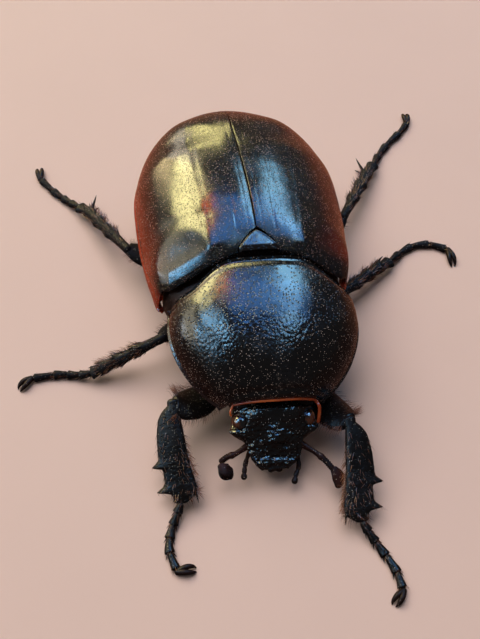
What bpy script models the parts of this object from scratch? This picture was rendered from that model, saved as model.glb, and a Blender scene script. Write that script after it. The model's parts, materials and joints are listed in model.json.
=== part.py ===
"""Rhinoceros beetle: a hornless female at life size, standing still on her six feet.

Lengths below are in millimetres, and MM turns them into metres as each mesh is made. The beetle
faces -Y, its own left side is +X, and the floor is z = 0. Each plate, limb segment and feeler is a
closed solid of its own, parted from its neighbours by a thin gap.
"""

import math

import bmesh
import bpy
from mathutils import Matrix, Vector

MM = 0.001
UP = Vector((0.0, 0.0, 1.0))

# How the trunk leans, and how the prothorax and head turn on it.
TRUNK_PIVOT = Vector((0.0, 10.0, 3.0))
TRUNK_ROLL = math.radians(3.5)
TRUNK_YAW = math.radians(0.6)
NECK_PIVOT = Vector((0.0, 3.5, 0.0))
NECK_SHIFT = 0.35
NECK_YAW = math.radians(-1.5)

# Clear spaces.
PLATE_GAP = 0.3
JOINT_GAP = 0.18
SUTURE_HALF_GAP = 0.1

# Wing cases: stations along Y, half widths across X, heights along Z.
SHELL_FRONT = 4.5
SHELL_WIDEST = 16.2
SHELL_REAR = 29.3
SHELL_HALF_BASE = 10.5
SHELL_HALF_WIDTH = 11.8
SHELL_CROWN = 12.5
SHELL_TOP_BASE = 13.9
SHELL_TOP = 15.3
SHELL_EDGE = 5.7
SHELL_EDGE_LIFT = 0.9
SHELL_CURL_DROP = 0.6
SHELL_CURL_IN = 0.35
SHELL_THICK = 0.65
SHELL_LIP = 1.1
SHELL_ROWS = 16
SHELL_COLUMNS = 9
SHELL_BASE_BOW = 0.5
SHELL_ROUND = 2 / 2.2
SHELL_EDGE_TURN = 0.86
SHELL_HUMPS = (  # x, y, reach and height: by the tip of the wing case, and on its shoulder
    (5.4, 24.2, 2.6, 0.45),
    (8.0, 7.0, 1.5, 0.35),
)
SUTURE_DIP = 0.45
SUTURE_DIP_REACH = 1.1

# Scutellum, seen from above.
SHIELD_HALF = 2.05
SHIELD_FRONT = 4.75
SHIELD_REAR = 7.1
SHIELD_THICK = 1.0
SHIELD_GAP = 0.22

# Pronotum.
PRONOTUM_FRONT_MIDDLE = -9.8
PRONOTUM_FRONT_SIDE = -8.75
PRONOTUM_REAR_MIDDLE = 3.65
PRONOTUM_REAR_SIDE = 2.7
PRONOTUM_WIDEST = -0.8
PRONOTUM_HALF_WIDTH = 9.95
PRONOTUM_HALF_REAR = 9.0
PRONOTUM_TOP = 14.15
PRONOTUM_TOP_FRONT = 8.75
PRONOTUM_EDGE_FRONT = 5.4
PRONOTUM_EDGE_REAR = 7.9
PRONOTUM_RECESS = 1.25
PRONOTUM_ROUND = 2 / 2.15
HEAD_ROOM_HALF = 4.8
HEAD_ROOM_FLOOR = 3.0
PRONOTUM_ROWS = 13
PRONOTUM_COLUMNS = 20

# Underside.
BELLY_PROTHORAX = 3.3
BELLY_THORAX = 3.1
BELLY_ABDOMEN = 3.2
NECK_FRONT = 3.3
NECK_SLANT = 0.085
NECK_HALF = 7.9
NECK_TOP = 12.0
THORAX_REAR = 12.4
ABDOMEN_REAR = 26.0
STERNITES = 6
SEAM_STEP = 0.5
BELLY_RISE = 1.0
PYGIDIUM_HALF = 5.6
PYGIDIUM_TOP = 7.6

# Head: its axis runs from inside the prothorax to the front of the clypeus.
HEAD_REAR = Vector((0.0, -8.35, 6.0))
HEAD_FRONT = Vector((0.0, -14.2, 2.9))
EYE_RADIUS = 0.95
EYE_GAP = 0.12
EYE_PLACE = Vector((3.55, -10.3, 5.7))

# Legs. Feet lie on the floor; FOOT_Z is the middle of a tarsus that rests on it.
FOOT_Z = 0.42
FOOT_HALF_HEIGHT = 0.45
TARSOMERES = 5
LIMB_SIDES = 8

CHITIN = (0.012, 0.009, 0.008, 1.0)
MAHOGANY = (0.040, 0.013, 0.008, 1.0)
RUST = (0.16, 0.045, 0.014, 1.0)
AMBER = (0.10, 0.045, 0.014, 1.0)


# ---------------------------------------------------------------- shape tools

def quarter(t, power):
    """Height of a unit superellipse's quarter at distance t from its middle."""
    return max(0.0, 1.0 - min(abs(t), 1.0) ** power) ** (1.0 / power)


def blend(t):
    """Smooth step from 0 to 1."""
    t = min(max(t, 0.0), 1.0)
    return t * t * (3.0 - 2.0 * t)


def bump(x, y, centre, reach):
    """Height of a round swelling at (x, y)."""
    return math.exp(-((x - centre[0]) ** 2 + (y - centre[1]) ** 2) / reach ** 2)


def smooth(stations, steps):
    """Catmull-Rom curve through tuples of any length, with `steps` spans between neighbours."""
    padded = [stations[0], *stations, stations[-1]]
    curve = []
    for before, start, end, after in zip(padded, padded[1:], padded[2:], padded[3:]):
        for step in range(steps):
            t = step / steps
            curve.append(tuple(
                0.5 * (2 * b + (c - a) * t + (2 * a - 5 * b + 4 * c - d) * t ** 2
                       + (3 * b - a - 3 * c + d) * t ** 3)
                for a, b, c, d in zip(before, start, end, after)
            ))
    curve.append(tuple(stations[-1]))
    return curve


def mirrored(point, side):
    """The point on the beetle's left (+1) or right (-1) side."""
    return Vector((point[0] * side, point[1], point[2]))


def loft(rings, nose=None, tail=None):
    """Closed solid through equal rings; nose and tail are the cap's middle points."""
    bm = bmesh.new()
    rows = [[bm.verts.new(point) for point in ring] for ring in rings]
    count = len(rows[0])
    for near, far in zip(rows, rows[1:]):
        for k in range(count):
            n = (k + 1) % count
            bm.faces.new((near[k], near[n], far[n], far[k]))
    for row, middle in ((rows[0], nose), (rows[-1], tail)):
        if middle is None:
            middle = sum((vertex.co for vertex in row), Vector()) / count
        hub = bm.verts.new(middle)
        for k in range(count):
            bm.faces.new((row[k], row[(k + 1) % count], hub))
    return tidy(bm)


def tidy(bm):
    """Merge collapsed corners and turn every face outward."""
    bmesh.ops.remove_doubles(bm, verts=bm.verts, dist=1e-4)
    bmesh.ops.recalc_face_normals(bm, faces=bm.faces)
    if bm.calc_volume(signed=True) < 0.0:
        bmesh.ops.reverse_faces(bm, faces=bm.faces)
    return bm


def limb(stations, sides=LIMB_SIDES, up=UP, round_start=0.5, round_end=0.5):
    """Limb along (x, y, z, half width, half height) stations, with elliptical rings.

    The half height lies along `up`; round_start and round_end push the end caps out, in half heights.
    """
    points = [Vector(station[:3]) for station in stations]
    rings = []
    for index, station in enumerate(stations):
        forward = points[min(index + 1, len(points) - 1)] - points[max(index - 1, 0)]
        forward.normalize()
        side = forward.cross(up).normalized()
        normal = side.cross(forward)
        ring = []
        for k in range(sides):
            angle = 2.0 * math.pi * (k + 0.5) / sides
            ring.append(points[index] + side * (station[3] * math.cos(angle))
                        + normal * (station[4] * math.sin(angle)))
        rings.append(ring)
    start = (points[0] - points[1]).normalized() * stations[0][4] * round_start
    end = (points[-1] - points[-2]).normalized() * stations[-1][4] * round_end
    return loft(rings, points[0] + start, points[-1] + end)


def spike(base, tip, radius, sides=5):
    """Cone with its foot sunk behind `base`."""
    base, tip = Vector(base), Vector(tip)
    along = (tip - base).normalized()
    across = along.orthogonal().normalized()
    other = along.cross(across)
    ring = [base + (across * math.cos(a) + other * math.sin(a)) * radius
            for a in (2.0 * math.pi * (k + 0.5) / sides for k in range(sides))]
    return loft([ring], base - along * radius * 0.5, tip)


def ball(centre, radii, segments=9, rings=6):
    """Ellipsoid."""
    bm = bmesh.new()
    bmesh.ops.create_uvsphere(bm, u_segments=segments, v_segments=rings, radius=1.0)
    for vertex in bm.verts:
        vertex.co = Vector(centre) + Vector(a * b for a, b in zip(vertex.co, radii))
    return tidy(bm)


def scratch_object(bm, name):
    """Temporary object that holds a solid while it is combined with another."""
    mesh = bpy.data.meshes.new(name)
    bm.to_mesh(mesh)
    bm.free()
    thing = bpy.data.objects.new(name, mesh)
    bpy.context.scene.collection.objects.link(thing)
    return thing


def combine(body, tools, operation):
    """Union or difference of a solid with each of the tools, which it uses up."""
    host = scratch_object(body, "host")
    cutters = [scratch_object(tool, "cutter") for tool in tools]
    for cutter in cutters:
        modifier = host.modifiers.new("Combine", "BOOLEAN")
        modifier.operation = operation
        modifier.solver = "EXACT"
        modifier.object = cutter
        cutter.hide_render = True
        cutter.display_type = "WIRE"
    bpy.context.view_layer.update()
    result = bmesh.new()
    result.from_object(host, bpy.context.evaluated_depsgraph_get())
    for thing in (host, *cutters):
        bpy.data.objects.remove(thing)
    return tidy(result)


# ---------------------------------------------------------------- materials and objects

def finish_material(name, colour, roughness):
    """Principled material of a plain colour."""
    material = bpy.data.materials.new(name)
    material.use_nodes = True
    shader = material.node_tree.nodes["Principled BSDF"]
    shader.inputs["Base Color"].default_value = colour
    shader.inputs["Roughness"].default_value = roughness
    return material


def add_piece(name, bm, parent, colour=CHITIN, roughness=0.3):
    """Turn a solid in millimetres into a named object in metres under `parent`."""
    bm.transform(Matrix.Scale(MM, 4))
    mesh = bpy.data.meshes.new(name)
    bm.to_mesh(mesh)
    bm.free()
    mesh.materials.append(finish_material(name, colour, roughness))
    mesh.shade_smooth()
    mesh.set_sharp_from_angle(angle=math.radians(40.0))
    piece = bpy.data.objects.new(name, mesh)
    bpy.context.scene.collection.objects.link(piece)
    piece.parent = parent
    return piece


def add_frame(name, parent, matrix):
    """Empty that carries pieces modelled in a tilted frame; `matrix` is in millimetres."""
    frame = bpy.data.objects.new(name, None)
    bpy.context.scene.collection.objects.link(frame)
    frame.parent = parent
    matrix = matrix.copy()
    matrix.translation *= MM
    frame.matrix_local = matrix
    return frame


def turn_about(pivot, angle, axis):
    """Rotation by `angle` about an axis through `pivot`."""
    return Matrix.Translation(pivot) @ Matrix.Rotation(angle, 4, axis) @ Matrix.Translation(-pivot)


TRUNK_MATRIX = turn_about(TRUNK_PIVOT, TRUNK_YAW, "Z") @ turn_about(TRUNK_PIVOT, TRUNK_ROLL, "Y")
NECK_MATRIX = Matrix.Translation((NECK_SHIFT, 0.0, 0.0)) @ turn_about(NECK_PIVOT, NECK_YAW, "Z")


# ---------------------------------------------------------------- wing cases

def shell_half_width(y, depth):
    """Half width of the closed wing cases at y, on a surface `depth` below the outer one."""
    widest = SHELL_HALF_WIDTH - depth
    if y < SHELL_WIDEST:
        back = (SHELL_WIDEST - y) / (SHELL_WIDEST - SHELL_FRONT)
        return widest - (SHELL_HALF_WIDTH - SHELL_HALF_BASE) * back ** 2.4
    return widest * quarter((y - SHELL_WIDEST) / (SHELL_REAR - depth - SHELL_WIDEST), 2.2)


def shell_edge(y):
    """Height of the wing cases' widest line at y; it rises towards the apex."""
    return SHELL_EDGE + SHELL_EDGE_LIFT * blend((y - 19.0) / (SHELL_REAR - 19.0))


def shell_top(y, depth):
    """Height of the wing cases' ridge at y."""
    if y < SHELL_CROWN:
        back = (SHELL_CROWN - y) / (SHELL_CROWN - SHELL_FRONT)
        return SHELL_TOP - depth - (SHELL_TOP - SHELL_TOP_BASE) * back ** 2
    edge = shell_edge(y)
    share = (y - SHELL_CROWN) / (SHELL_REAR - depth - SHELL_CROWN)
    return edge + (SHELL_TOP - depth - edge) * quarter(share, 2.4)


def shell_station(u, depth):
    """Distance along Y of row u (0 at the base, 1 at the apex), closer together at both ends."""
    rear = SHELL_REAR - depth
    front_part = 0.12
    if u < front_part:
        return SHELL_FRONT + SHELL_LIP * (u / front_part) ** 1.6
    t = (u - front_part) / (1.0 - front_part)
    return SHELL_FRONT + SHELL_LIP + (rear - SHELL_FRONT - SHELL_LIP) * math.sin(t * math.pi / 2) ** 0.95


def shell_point(u, turn, depth):
    """Point of the left wing case: u runs base to apex, turn runs suture (0) to tucked edge (1)."""
    y = shell_station(u, depth)
    lip = max(0.0, (SHELL_FRONT + SHELL_LIP - y) / SHELL_LIP)
    drop = 0.9 * SHELL_LIP * (1.0 - math.sqrt(1.0 - lip ** 2))
    half = max(shell_half_width(y, depth) - 0.55 * drop, 0.0)
    edge = shell_edge(y)
    top = shell_top(y, depth) - drop
    if turn <= SHELL_EDGE_TURN:
        angle = turn / SHELL_EDGE_TURN * math.pi / 2
        x = half * math.sin(angle) ** SHELL_ROUND
        z = edge + (top - edge) * math.cos(angle) ** SHELL_ROUND
    else:
        tuck = (turn - SHELL_EDGE_TURN) / (1.0 - SHELL_EDGE_TURN) * min(half / 4.0, 1.0)
        x = half - SHELL_CURL_IN * tuck ** 2
        z = edge - SHELL_CURL_DROP * tuck
    for hump_x, hump_y, reach, height in SHELL_HUMPS:
        z += height * bump(x, y, (hump_x, hump_y), reach)
    dip = SUTURE_DIP * math.exp(-(x / SUTURE_DIP_REACH) ** 2)
    z -= dip * blend((y - 14.0) / 9.0) * (1.0 - blend((y - 26.5) / 3.0))
    x = SUTURE_HALF_GAP + x * (1.0 - SUTURE_HALF_GAP / SHELL_HALF_WIDTH)
    y += SHELL_BASE_BOW * (1.0 - x / SHELL_HALF_BASE) * (1.0 - blend((y - SHELL_FRONT) / 6.0))
    return Vector((x, y, z))


def shield_outline(grow):
    """Outline of the scutellum seen from above, moved outward by `grow`."""
    outline = [Vector((SHIELD_HALF, SHIELD_FRONT))]
    for k in range(4, -5, -1):
        t = k / 4
        side = math.copysign(abs(t) ** 0.9, t) * SHIELD_HALF
        outline.append(Vector((side, SHIELD_REAR - (SHIELD_REAR - SHIELD_FRONT - 0.35) * abs(t) ** 1.25)))
    outline.append(Vector((-SHIELD_HALF, SHIELD_FRONT)))
    moved = []
    for index, point in enumerate(outline):
        way = outline[(index + 1) % len(outline)] - outline[index - 1]
        moved.append(point + Vector((way.y, -way.x)).normalized() * grow)
    return moved


def scutellum():
    """Shield-shaped plate between the bases of the wing cases."""
    outline = shield_outline(0.0)
    lower, upper = [], []
    for x, y in outline:
        top = shell_top(y, 0.0) - 0.45 * blend((SHIELD_FRONT + 0.5 - y) / 0.8)
        lower.append(Vector((x, y, top - SHIELD_THICK)))
        upper.append(Vector((x, y, top - 0.03 * x * x)))
    inner = [Vector((p.x * 0.82, 5.6 + (p.y - 5.6) * 0.82, p.z + 0.1)) for p in upper]
    return loft([lower, upper, inner])


def shield_cutter():
    """Clear room for the scutellum between the wing cases."""
    outline = shield_outline(SHIELD_GAP)
    outline[0].y = outline[-1].y = SHELL_FRONT - 1.0
    return loft([[Vector((x, y, z)) for x, y in outline] for z in (10.0, 18.0)])


def wing_case(side):
    """One wing case: a thin domed shell with a rolled base and a tucked outer edge."""
    bm = bmesh.new()
    skins = []
    for depth in (0.0, SHELL_THICK):
        skin = []
        for row in range(SHELL_ROWS + 1):
            points = [shell_point(row / SHELL_ROWS, column / SHELL_COLUMNS, depth)
                      for column in range(SHELL_COLUMNS + 1)]
            skin.append([bm.verts.new(mirrored(point, side)) for point in points])
        skins.append(skin)
    for skin in skins:
        for near, far in zip(skin, skin[1:]):
            for k in range(SHELL_COLUMNS):
                bm.faces.new((near[k], near[k + 1], far[k + 1], far[k]))
    outer, inner = skins
    rims = [(outer[0], inner[0]), (outer[-1], inner[-1])]
    for column in (0, -1):
        rims.append(([row[column] for row in outer], [row[column] for row in inner]))
    for outside, inside in rims:
        for k in range(len(outside) - 1):
            bm.faces.new((outside[k], outside[k + 1], inside[k + 1], inside[k]))
    return combine(tidy(bm), [shield_cutter()], "DIFFERENCE")


# ---------------------------------------------------------------- prothorax

def pronotum_half_width(y):
    """Half width of the pronotum at y."""
    if y < PRONOTUM_WIDEST:
        return PRONOTUM_HALF_WIDTH * quarter((PRONOTUM_WIDEST - y) / 9.5, 1.9)
    back = (y - PRONOTUM_WIDEST) / (PRONOTUM_REAR_SIDE - PRONOTUM_WIDEST)
    return PRONOTUM_HALF_WIDTH - (PRONOTUM_HALF_WIDTH - PRONOTUM_HALF_REAR) * back ** 2.2


def pronotum_edge(y):
    """Height of the pronotum's side margin at y."""
    share = (y - PRONOTUM_FRONT_SIDE) / (PRONOTUM_REAR_SIDE - PRONOTUM_FRONT_SIDE)
    climb = math.sin(min(max(share, 0.0), 1.0) * math.pi / 2)
    return PRONOTUM_EDGE_FRONT + (PRONOTUM_EDGE_REAR - PRONOTUM_EDGE_FRONT) * climb


def pronotum_row(u):
    """One arched row of the pronotum, from the right margin to the left; u is 0 at the front."""
    middle = PRONOTUM_FRONT_MIDDLE + (PRONOTUM_REAR_MIDDLE - PRONOTUM_FRONT_MIDDLE) * u
    flank = PRONOTUM_FRONT_SIDE + (PRONOTUM_REAR_SIDE - PRONOTUM_FRONT_SIDE) * u
    half = pronotum_half_width(flank)
    edge = pronotum_edge(flank)
    rise = quarter((2.2 - min(middle, 2.2)) / (2.25 - PRONOTUM_FRONT_MIDDLE), 2.15)
    top = PRONOTUM_TOP_FRONT - 0.5 + (PRONOTUM_TOP - PRONOTUM_TOP_FRONT + 0.5) * rise
    top -= 0.25 * blend((middle - 2.6) / 1.2)
    row = []
    for k in range(PRONOTUM_COLUMNS + 1):
        across = 2.0 * k / PRONOTUM_COLUMNS - 1.0
        angle = abs(across) * math.pi / 2
        x = math.copysign(half * math.sin(angle) ** PRONOTUM_ROUND, across)
        z = edge + (top - edge) * math.cos(angle) ** PRONOTUM_ROUND
        row.append(Vector((x, middle + (flank - middle) * abs(across) ** 1.6, z)))
    return row


def pronotum():
    """Domed shield over the prothorax, hollowed in front where the head goes in."""
    bm = bmesh.new()
    rows = []
    for index in range(PRONOTUM_ROWS + 1):
        u = math.sin(index / PRONOTUM_ROWS * math.pi / 2) ** 1.15
        rows.append([bm.verts.new(point) for point in pronotum_row(u)])
    for near, far in zip(rows, rows[1:]):
        for k in range(PRONOTUM_COLUMNS):
            bm.faces.new((near[k], near[k + 1], far[k + 1], far[k]))
        bm.faces.new((near[0], near[-1], far[-1], far[0]))
    for row in (rows[0], rows[-1]):
        bm.faces.new(row)
    return combine(tidy(bm), [head_room()], "DIFFERENCE")


def head_room():
    """Arched room in the front of the pronotum that takes the back of the head."""
    rings = []
    height = PRONOTUM_TOP_FRONT - PLATE_GAP - HEAD_ROOM_FLOOR
    for y, shrink in ((PRONOTUM_FRONT_MIDDLE - 1.0, 1.0), (PRONOTUM_FRONT_SIDE, 1.0),
                      (PRONOTUM_FRONT_SIDE + PRONOTUM_RECESS, 0.85)):
        crown = HEAD_ROOM_FLOOR + height * shrink
        arch = half_oval(HEAD_ROOM_HALF * shrink, HEAD_ROOM_FLOOR, crown, 3.0, 11)
        rings.append([Vector((x, y, z)) for x, z in arch])
    return loft(rings)


def half_oval(half, flat, far, power, count=9):
    """Ring of (x, z) points: straight across at height `flat`, bulging to height `far`."""
    ring = []
    for k in range(count + 1):
        angle = math.pi * k / count
        x = math.copysign(abs(math.cos(angle)) ** (2 / power), math.cos(angle)) * half
        ring.append((x, flat + (far - flat) * math.sin(angle) ** (2 / power)))
    return ring


def prosternum():
    """Underside of the prothorax."""
    rings = []
    for y in (-7.0, -5.2, -3.0, -0.6, 1.4, 3.0):
        top = pronotum_edge(y) - PLATE_GAP
        inset = 0.55 if y < 2.0 else 0.9
        half = pronotum_half_width(max(y, PRONOTUM_FRONT_SIDE + 0.3)) - inset
        if y > PRONOTUM_REAR_SIDE:
            half = PRONOTUM_HALF_REAR - inset - 0.8
        bottom = BELLY_PROTHORAX + 0.5 * blend((-y - 6.0) / 2.5) + 0.4 * blend(y / 3.0)
        rings.append([Vector((x, y, z)) for x, z in half_oval(half, top, bottom, 1.6)])
    return loft(rings)


# ---------------------------------------------------------------- hind body

def trunk_ring(y, half, top, bottom, sides=16):
    """Closed section of the hind body: a dome above the shell's edge and a shallow belly below."""
    middle = shell_edge(y) - 0.2
    ring = []
    for k in range(sides):
        angle = 2.0 * math.pi * k / sides
        c, s = math.cos(angle), math.sin(angle)
        x = math.copysign(abs(c) ** (2 / 2.2), c) * half
        if s >= 0.0:
            z = middle + (top - middle) * s ** (2 / 2.2)
        else:
            z = middle - (middle - bottom) * abs(s) ** (2 / 1.9)
        ring.append(Vector((x, y, z)))
    return ring


def inner_half(y):
    """Half width that fits under the wing cases."""
    return shell_half_width(y, SHELL_THICK + PLATE_GAP) - 0.15


def inner_top(y):
    """Height that fits under the wing cases."""
    return shell_top(y, SHELL_THICK + PLATE_GAP) - 0.55


def thorax():
    """Middle and hind thorax: the neck behind the pronotum and the breastplate under the shell base."""
    neck = trunk_ring(NECK_FRONT, NECK_HALF, NECK_TOP, 4.0)
    rings = [[Vector((p.x, p.y + NECK_SLANT * (p.z - 4.0), p.z)) for p in neck]]
    for y in (5.3, 6.4, 8.2, 10.0, THORAX_REAR - 0.6):
        taper = blend((6.5 - y) / 2.0)
        top = inner_top(y) - 0.6 * taper
        rings.append(trunk_ring(y, inner_half(y) - 0.35 * taper, top, BELLY_THORAX + 0.5 * taper))
    half = inner_half(THORAX_REAR) - SEAM_STEP
    top = inner_top(THORAX_REAR) - SEAM_STEP
    rings.append(trunk_ring(THORAX_REAR, half, top, BELLY_THORAX + 0.4))
    return loft(rings)


def abdomen():
    """Hind body under the wing cases, its belly stepped into sternites."""
    front = THORAX_REAR + PLATE_GAP
    half = inner_half(front) - SEAM_STEP
    top = inner_top(front) - SEAM_STEP
    rings = [trunk_ring(front, half, top, BELLY_ABDOMEN + 0.4)]
    for plate in range(STERNITES):
        for part, groove in ((0.15, 0.0), (1.0, 0.35)):
            along = (plate + part) / STERNITES
            y = front + (ABDOMEN_REAR - front) * along
            bottom = BELLY_ABDOMEN + groove + BELLY_RISE * along ** 2
            rings.append(trunk_ring(y, inner_half(y) - 0.6 * groove, inner_top(y) - 0.2, bottom))
    return loft(rings)


def pygidium():
    """Convex tail plate that closes the body below the tip of the wing cases."""
    front = ABDOMEN_REAR + PLATE_GAP
    rings = []
    for back, shrink in ((0.0, 0.92), (0.25, 1.0), (1.0, 0.93), (1.55, 0.68), (1.8, 0.3)):
        bottom = BELLY_ABDOMEN + BELLY_RISE + 0.2
        middle = (bottom + PYGIDIUM_TOP) / 2
        plate = []
        for point in trunk_ring(front, PYGIDIUM_HALF, PYGIDIUM_TOP, bottom):
            rise = point.z - middle
            plate.append(Vector((point.x * shrink, front + back - 0.12 * rise, middle + rise * shrink)))
        rings.append(plate)
    return loft(rings)


# ---------------------------------------------------------------- head

def head_ring(s, half, above, below, sides=16):
    """Section of the head at s along its axis, square to that axis."""
    along = (HEAD_FRONT - HEAD_REAR).normalized()
    normal = Vector((0.0, along.z, -along.y))
    if normal.z < 0.0:
        normal.negate()
    centre = HEAD_REAR.lerp(HEAD_FRONT, s)
    ring = []
    for k in range(sides):
        angle = 2.0 * math.pi * k / sides
        c, sn = math.cos(angle), math.sin(angle)
        x = math.copysign(abs(c) ** (2 / 2.25), c) * half
        height = math.copysign(abs(sn) ** (2 / 2.2), sn) * (above if sn > 0.0 else below)
        ring.append(centre + Vector((x, 0.0, 0.0)) + normal * height)
    return ring


HEAD_STATIONS = (  # share of the axis, half width, height above it, depth below it
    (0.00, 3.7, 1.7, 1.8), (0.14, 4.15, 2.0, 2.1), (0.30, 4.3, 2.0, 2.2), (0.40, 4.4, 1.75, 2.1),
    (0.45, 4.65, 1.6, 2.0), (0.52, 4.2, 1.45, 1.9), (0.60, 3.45, 1.2, 1.75), (0.74, 2.95, 0.9, 1.4),
    (0.88, 2.55, 0.6, 0.9), (1.00, 1.7, 0.3, 0.4),
)


def capsule(grow=0.0):
    """Head without its fittings; grown, it is the cutter for what grows from it."""
    rings = [head_ring(share, half + grow, above + grow, below + grow)
             for share, half, above, below in HEAD_STATIONS]
    along = (HEAD_FRONT - HEAD_REAR).normalized() * grow
    rings[0] = [point - along for point in rings[0]]
    rings[-1] = [point + along for point in rings[-1]]
    return loft(rings)


def head():
    """Head capsule with its cheek corners, toothed clypeus, brow knob and eye sockets."""
    teeth = [spike((side * 0.75, -13.85, 3.1), (side * 0.85, -14.55, 3.6), 0.35) for side in (1, -1)]
    teeth.append(ball((0.0, -12.1, 4.7), (0.6, 0.55, 0.5), 8, 5))
    pits = [ball(mirrored(EYE_PLACE, side), [EYE_RADIUS + EYE_GAP] * 3) for side in (1, -1)]
    return combine(combine(capsule(), teeth, "UNION"), pits, "DIFFERENCE")


def beside_head(piece):
    """Trim a mouthpart or feeler so that it just meets the head."""
    return combine(piece, [capsule(JOINT_GAP)], "DIFFERENCE")


def mandible(side):
    """Short curved jaw below the clypeus."""
    stations = smooth([(side * 1.6, -12.0, 2.1, 0.38, 0.4), (side * 1.7, -13.2, 2.05, 0.38, 0.38),
                       (side * 1.25, -14.15, 2.05, 0.28, 0.26)], 2)
    return beside_head(limb(stations, 6))


def labium():
    """Lower lip between the jaws."""
    stations = [(0.0, -11.2, 2.1, 0.8, 0.45), (0.0, -12.9, 2.0, 0.95, 0.5), (0.0, -14.4, 2.0, 0.75, 0.35)]
    return beside_head(limb(stations, 8))


ANTENNA_STALKS = {
    -1: [(-2.6, -12.0, 3.5), (-3.95, -12.75, 3.35), (-4.9, -13.0, 3.15), (-5.6, -13.35, 2.85)],
    1: [(2.7, -12.2, 3.5), (4.2, -13.35, 3.35), (5.1, -14.2, 3.1), (5.75, -15.0, 2.8)],
}
ANTENNA_CLUBS = {
    -1: [(-5.6, -13.8, 2.7), (-5.15, -14.25, 2.5), (-4.55, -14.45, 2.3)],
    1: [(5.95, -15.38, 2.65), (6.2, -16.1, 2.45), (6.2, -16.9, 2.2)],
}
PALPS = {
    -1: [(-2.3, -12.0, 2.9), (-2.9, -13.2, 2.05), (-3.15, -14.1, 1.75), (-3.25, -14.7, 1.6)],
    1: [(2.3, -12.3, 2.9), (2.5, -13.9, 2.05), (2.1, -14.9, 1.75), (1.85, -15.6, 1.6)],
}


def antenna_stalk(side):
    """Elbowed stalk of an antenna, thicker at its first joint."""
    halves = (0.34, 0.32, 0.26, 0.27)
    stations = [(*point, half, half) for point, half in zip(ANTENNA_STALKS[side], halves)]
    return beside_head(limb(smooth(stations, 2), 6))


def antenna_club(side):
    """Club of three leaves, closed."""
    widths = {-1: (0.45, 0.85, 0.7), 1: (0.35, 0.6, 0.45)}[side]
    stations = [(*point, half, half * 0.75) for point, half in zip(ANTENNA_CLUBS[side], widths)]
    return limb(smooth(stations, 3), 8, UP, 0.6, 0.8)


def palp(side):
    """Jointed feeler of the mouth, swollen at its tip."""
    halves = (0.25, 0.27, 0.27, 0.36)
    stations = [(*point, half, half) for point, half in zip(PALPS[side], halves)]
    return beside_head(limb(smooth(stations, 2), 6, UP, 0.5, 1.0))


# ---------------------------------------------------------------- legs

COXAE = {  # inner end, outer end and radius of each pair's hip barrel, on the left side
    "front": ((1.6, -4.1, 3.15), (4.4, -4.6, 3.3), 1.15),
    "middle": ((1.7, 6.2, 2.85), (4.6, 5.9, 3.1), 1.15),
    "hind": ((1.5, 11.2, 2.75), (5.6, 10.9, 3.25), 1.15),
}


class Leg:
    """Places of one leg in the floor's own frame, and its widths."""

    def __init__(self, pair, side, knee, ankle, foot, claw, outward):
        self.pair = pair
        self.side = side
        self.knee = Vector(knee)
        self.ankle = Vector(ankle)
        self.foot = [Vector(point) for point in foot]
        self.claw = Vector(claw)
        self.outward = Vector(outward).normalized()

    def label(self):
        """Pair and side, for node names."""
        return f"{self.pair}_{'left' if self.side > 0 else 'right'}"

    def carrier(self):
        """Frame of the plate that bears the coxa."""
        return TRUNK_MATRIX @ NECK_MATRIX if self.pair == "front" else TRUNK_MATRIX

    def hip(self):
        """Outer end of the coxa, in the floor's frame."""
        return self.carrier() @ mirrored(COXAE[self.pair][1], self.side)


FEMUR_SIZE = {"front": (1.9, 0.85), "middle": (1.35, 0.7), "hind": (1.5, 0.72)}
TIBIA_SIZE = {"front": (1.5, 0.55), "middle": (0.68, 0.66), "hind": (0.74, 0.72)}

SPUR_RISE = {"middle": 0.6, "hind": 1.9}

LEGS = (
    Leg("front", -1, (-9.6, -7.4, 5.35), (-9.8, -16.4, 1.5),
        [(-10.4, -17.5, 0.9), (-11.1, -18.9, FOOT_Z), (-11.45, -20.7, FOOT_Z), (-10.95, -22.7, FOOT_Z)],
        (-9.0, -22.9, 0.3), (-1.0, 0.0, -0.15)),
    Leg("front", 1, (8.0, -11.5, 5.3), (7.9, -20.6, 1.5),
        [(8.55, -21.8, 0.9), (9.35, -23.2, FOOT_Z), (10.35, -25.4, FOOT_Z), (10.65, -27.3, FOOT_Z)],
        (9.5, -28.8, 0.3), (1.0, 0.0, -0.15)),
    Leg("middle", -1, (-10.2, 1.1, 4.7), (-16.9, 0.0, 1.6),
        [(-18.4, -0.2, 1.05), (-20.1, 0.15, FOOT_Z + 0.1), (-21.8, 0.45, FOOT_Z), (-24.4, 0.35, FOOT_Z)],
        (-26.1, -0.8, 0.3), (-0.35, -1.0, 0.1)),
    Leg("middle", 1, (10.4, 5.3, 3.3), (16.3, 9.8, 1.6),
        [(17.9, 10.8, 1.05), (19.4, 12.1, FOOT_Z + 0.1), (21.2, 13.1, FOOT_Z), (23.4, 13.2, FOOT_Z),
         (25.3, 12.3, FOOT_Z)],
        (25.7, 9.8, 0.3), (0.35, -1.0, 0.1)),
    Leg("hind", -1, (-12.6, 13.2, 4.4), (-17.2, 21.9, 1.6),
        [(-18.8, 23.7, 1.05), (-20.0, 25.1, FOOT_Z + 0.1), (-21.4, 26.6, FOOT_Z), (-23.1, 28.9, FOOT_Z)],
        (-23.4, 31.2, 0.3), (-1.0, -0.45, 0.1)),
    Leg("hind", 1, (13.2, 16.6, 3.3), (17.7, 24.0, 1.6),
        [(19.2, 26.2, 1.05), (20.3, 28.0, FOOT_Z + 0.1), (21.8, 29.8, FOOT_Z), (23.9, 31.7, FOOT_Z),
         (25.3, 33.2, FOOT_Z)],
        (25.6, 35.4, 0.3), (1.0, -0.45, 0.1)),
)


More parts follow.
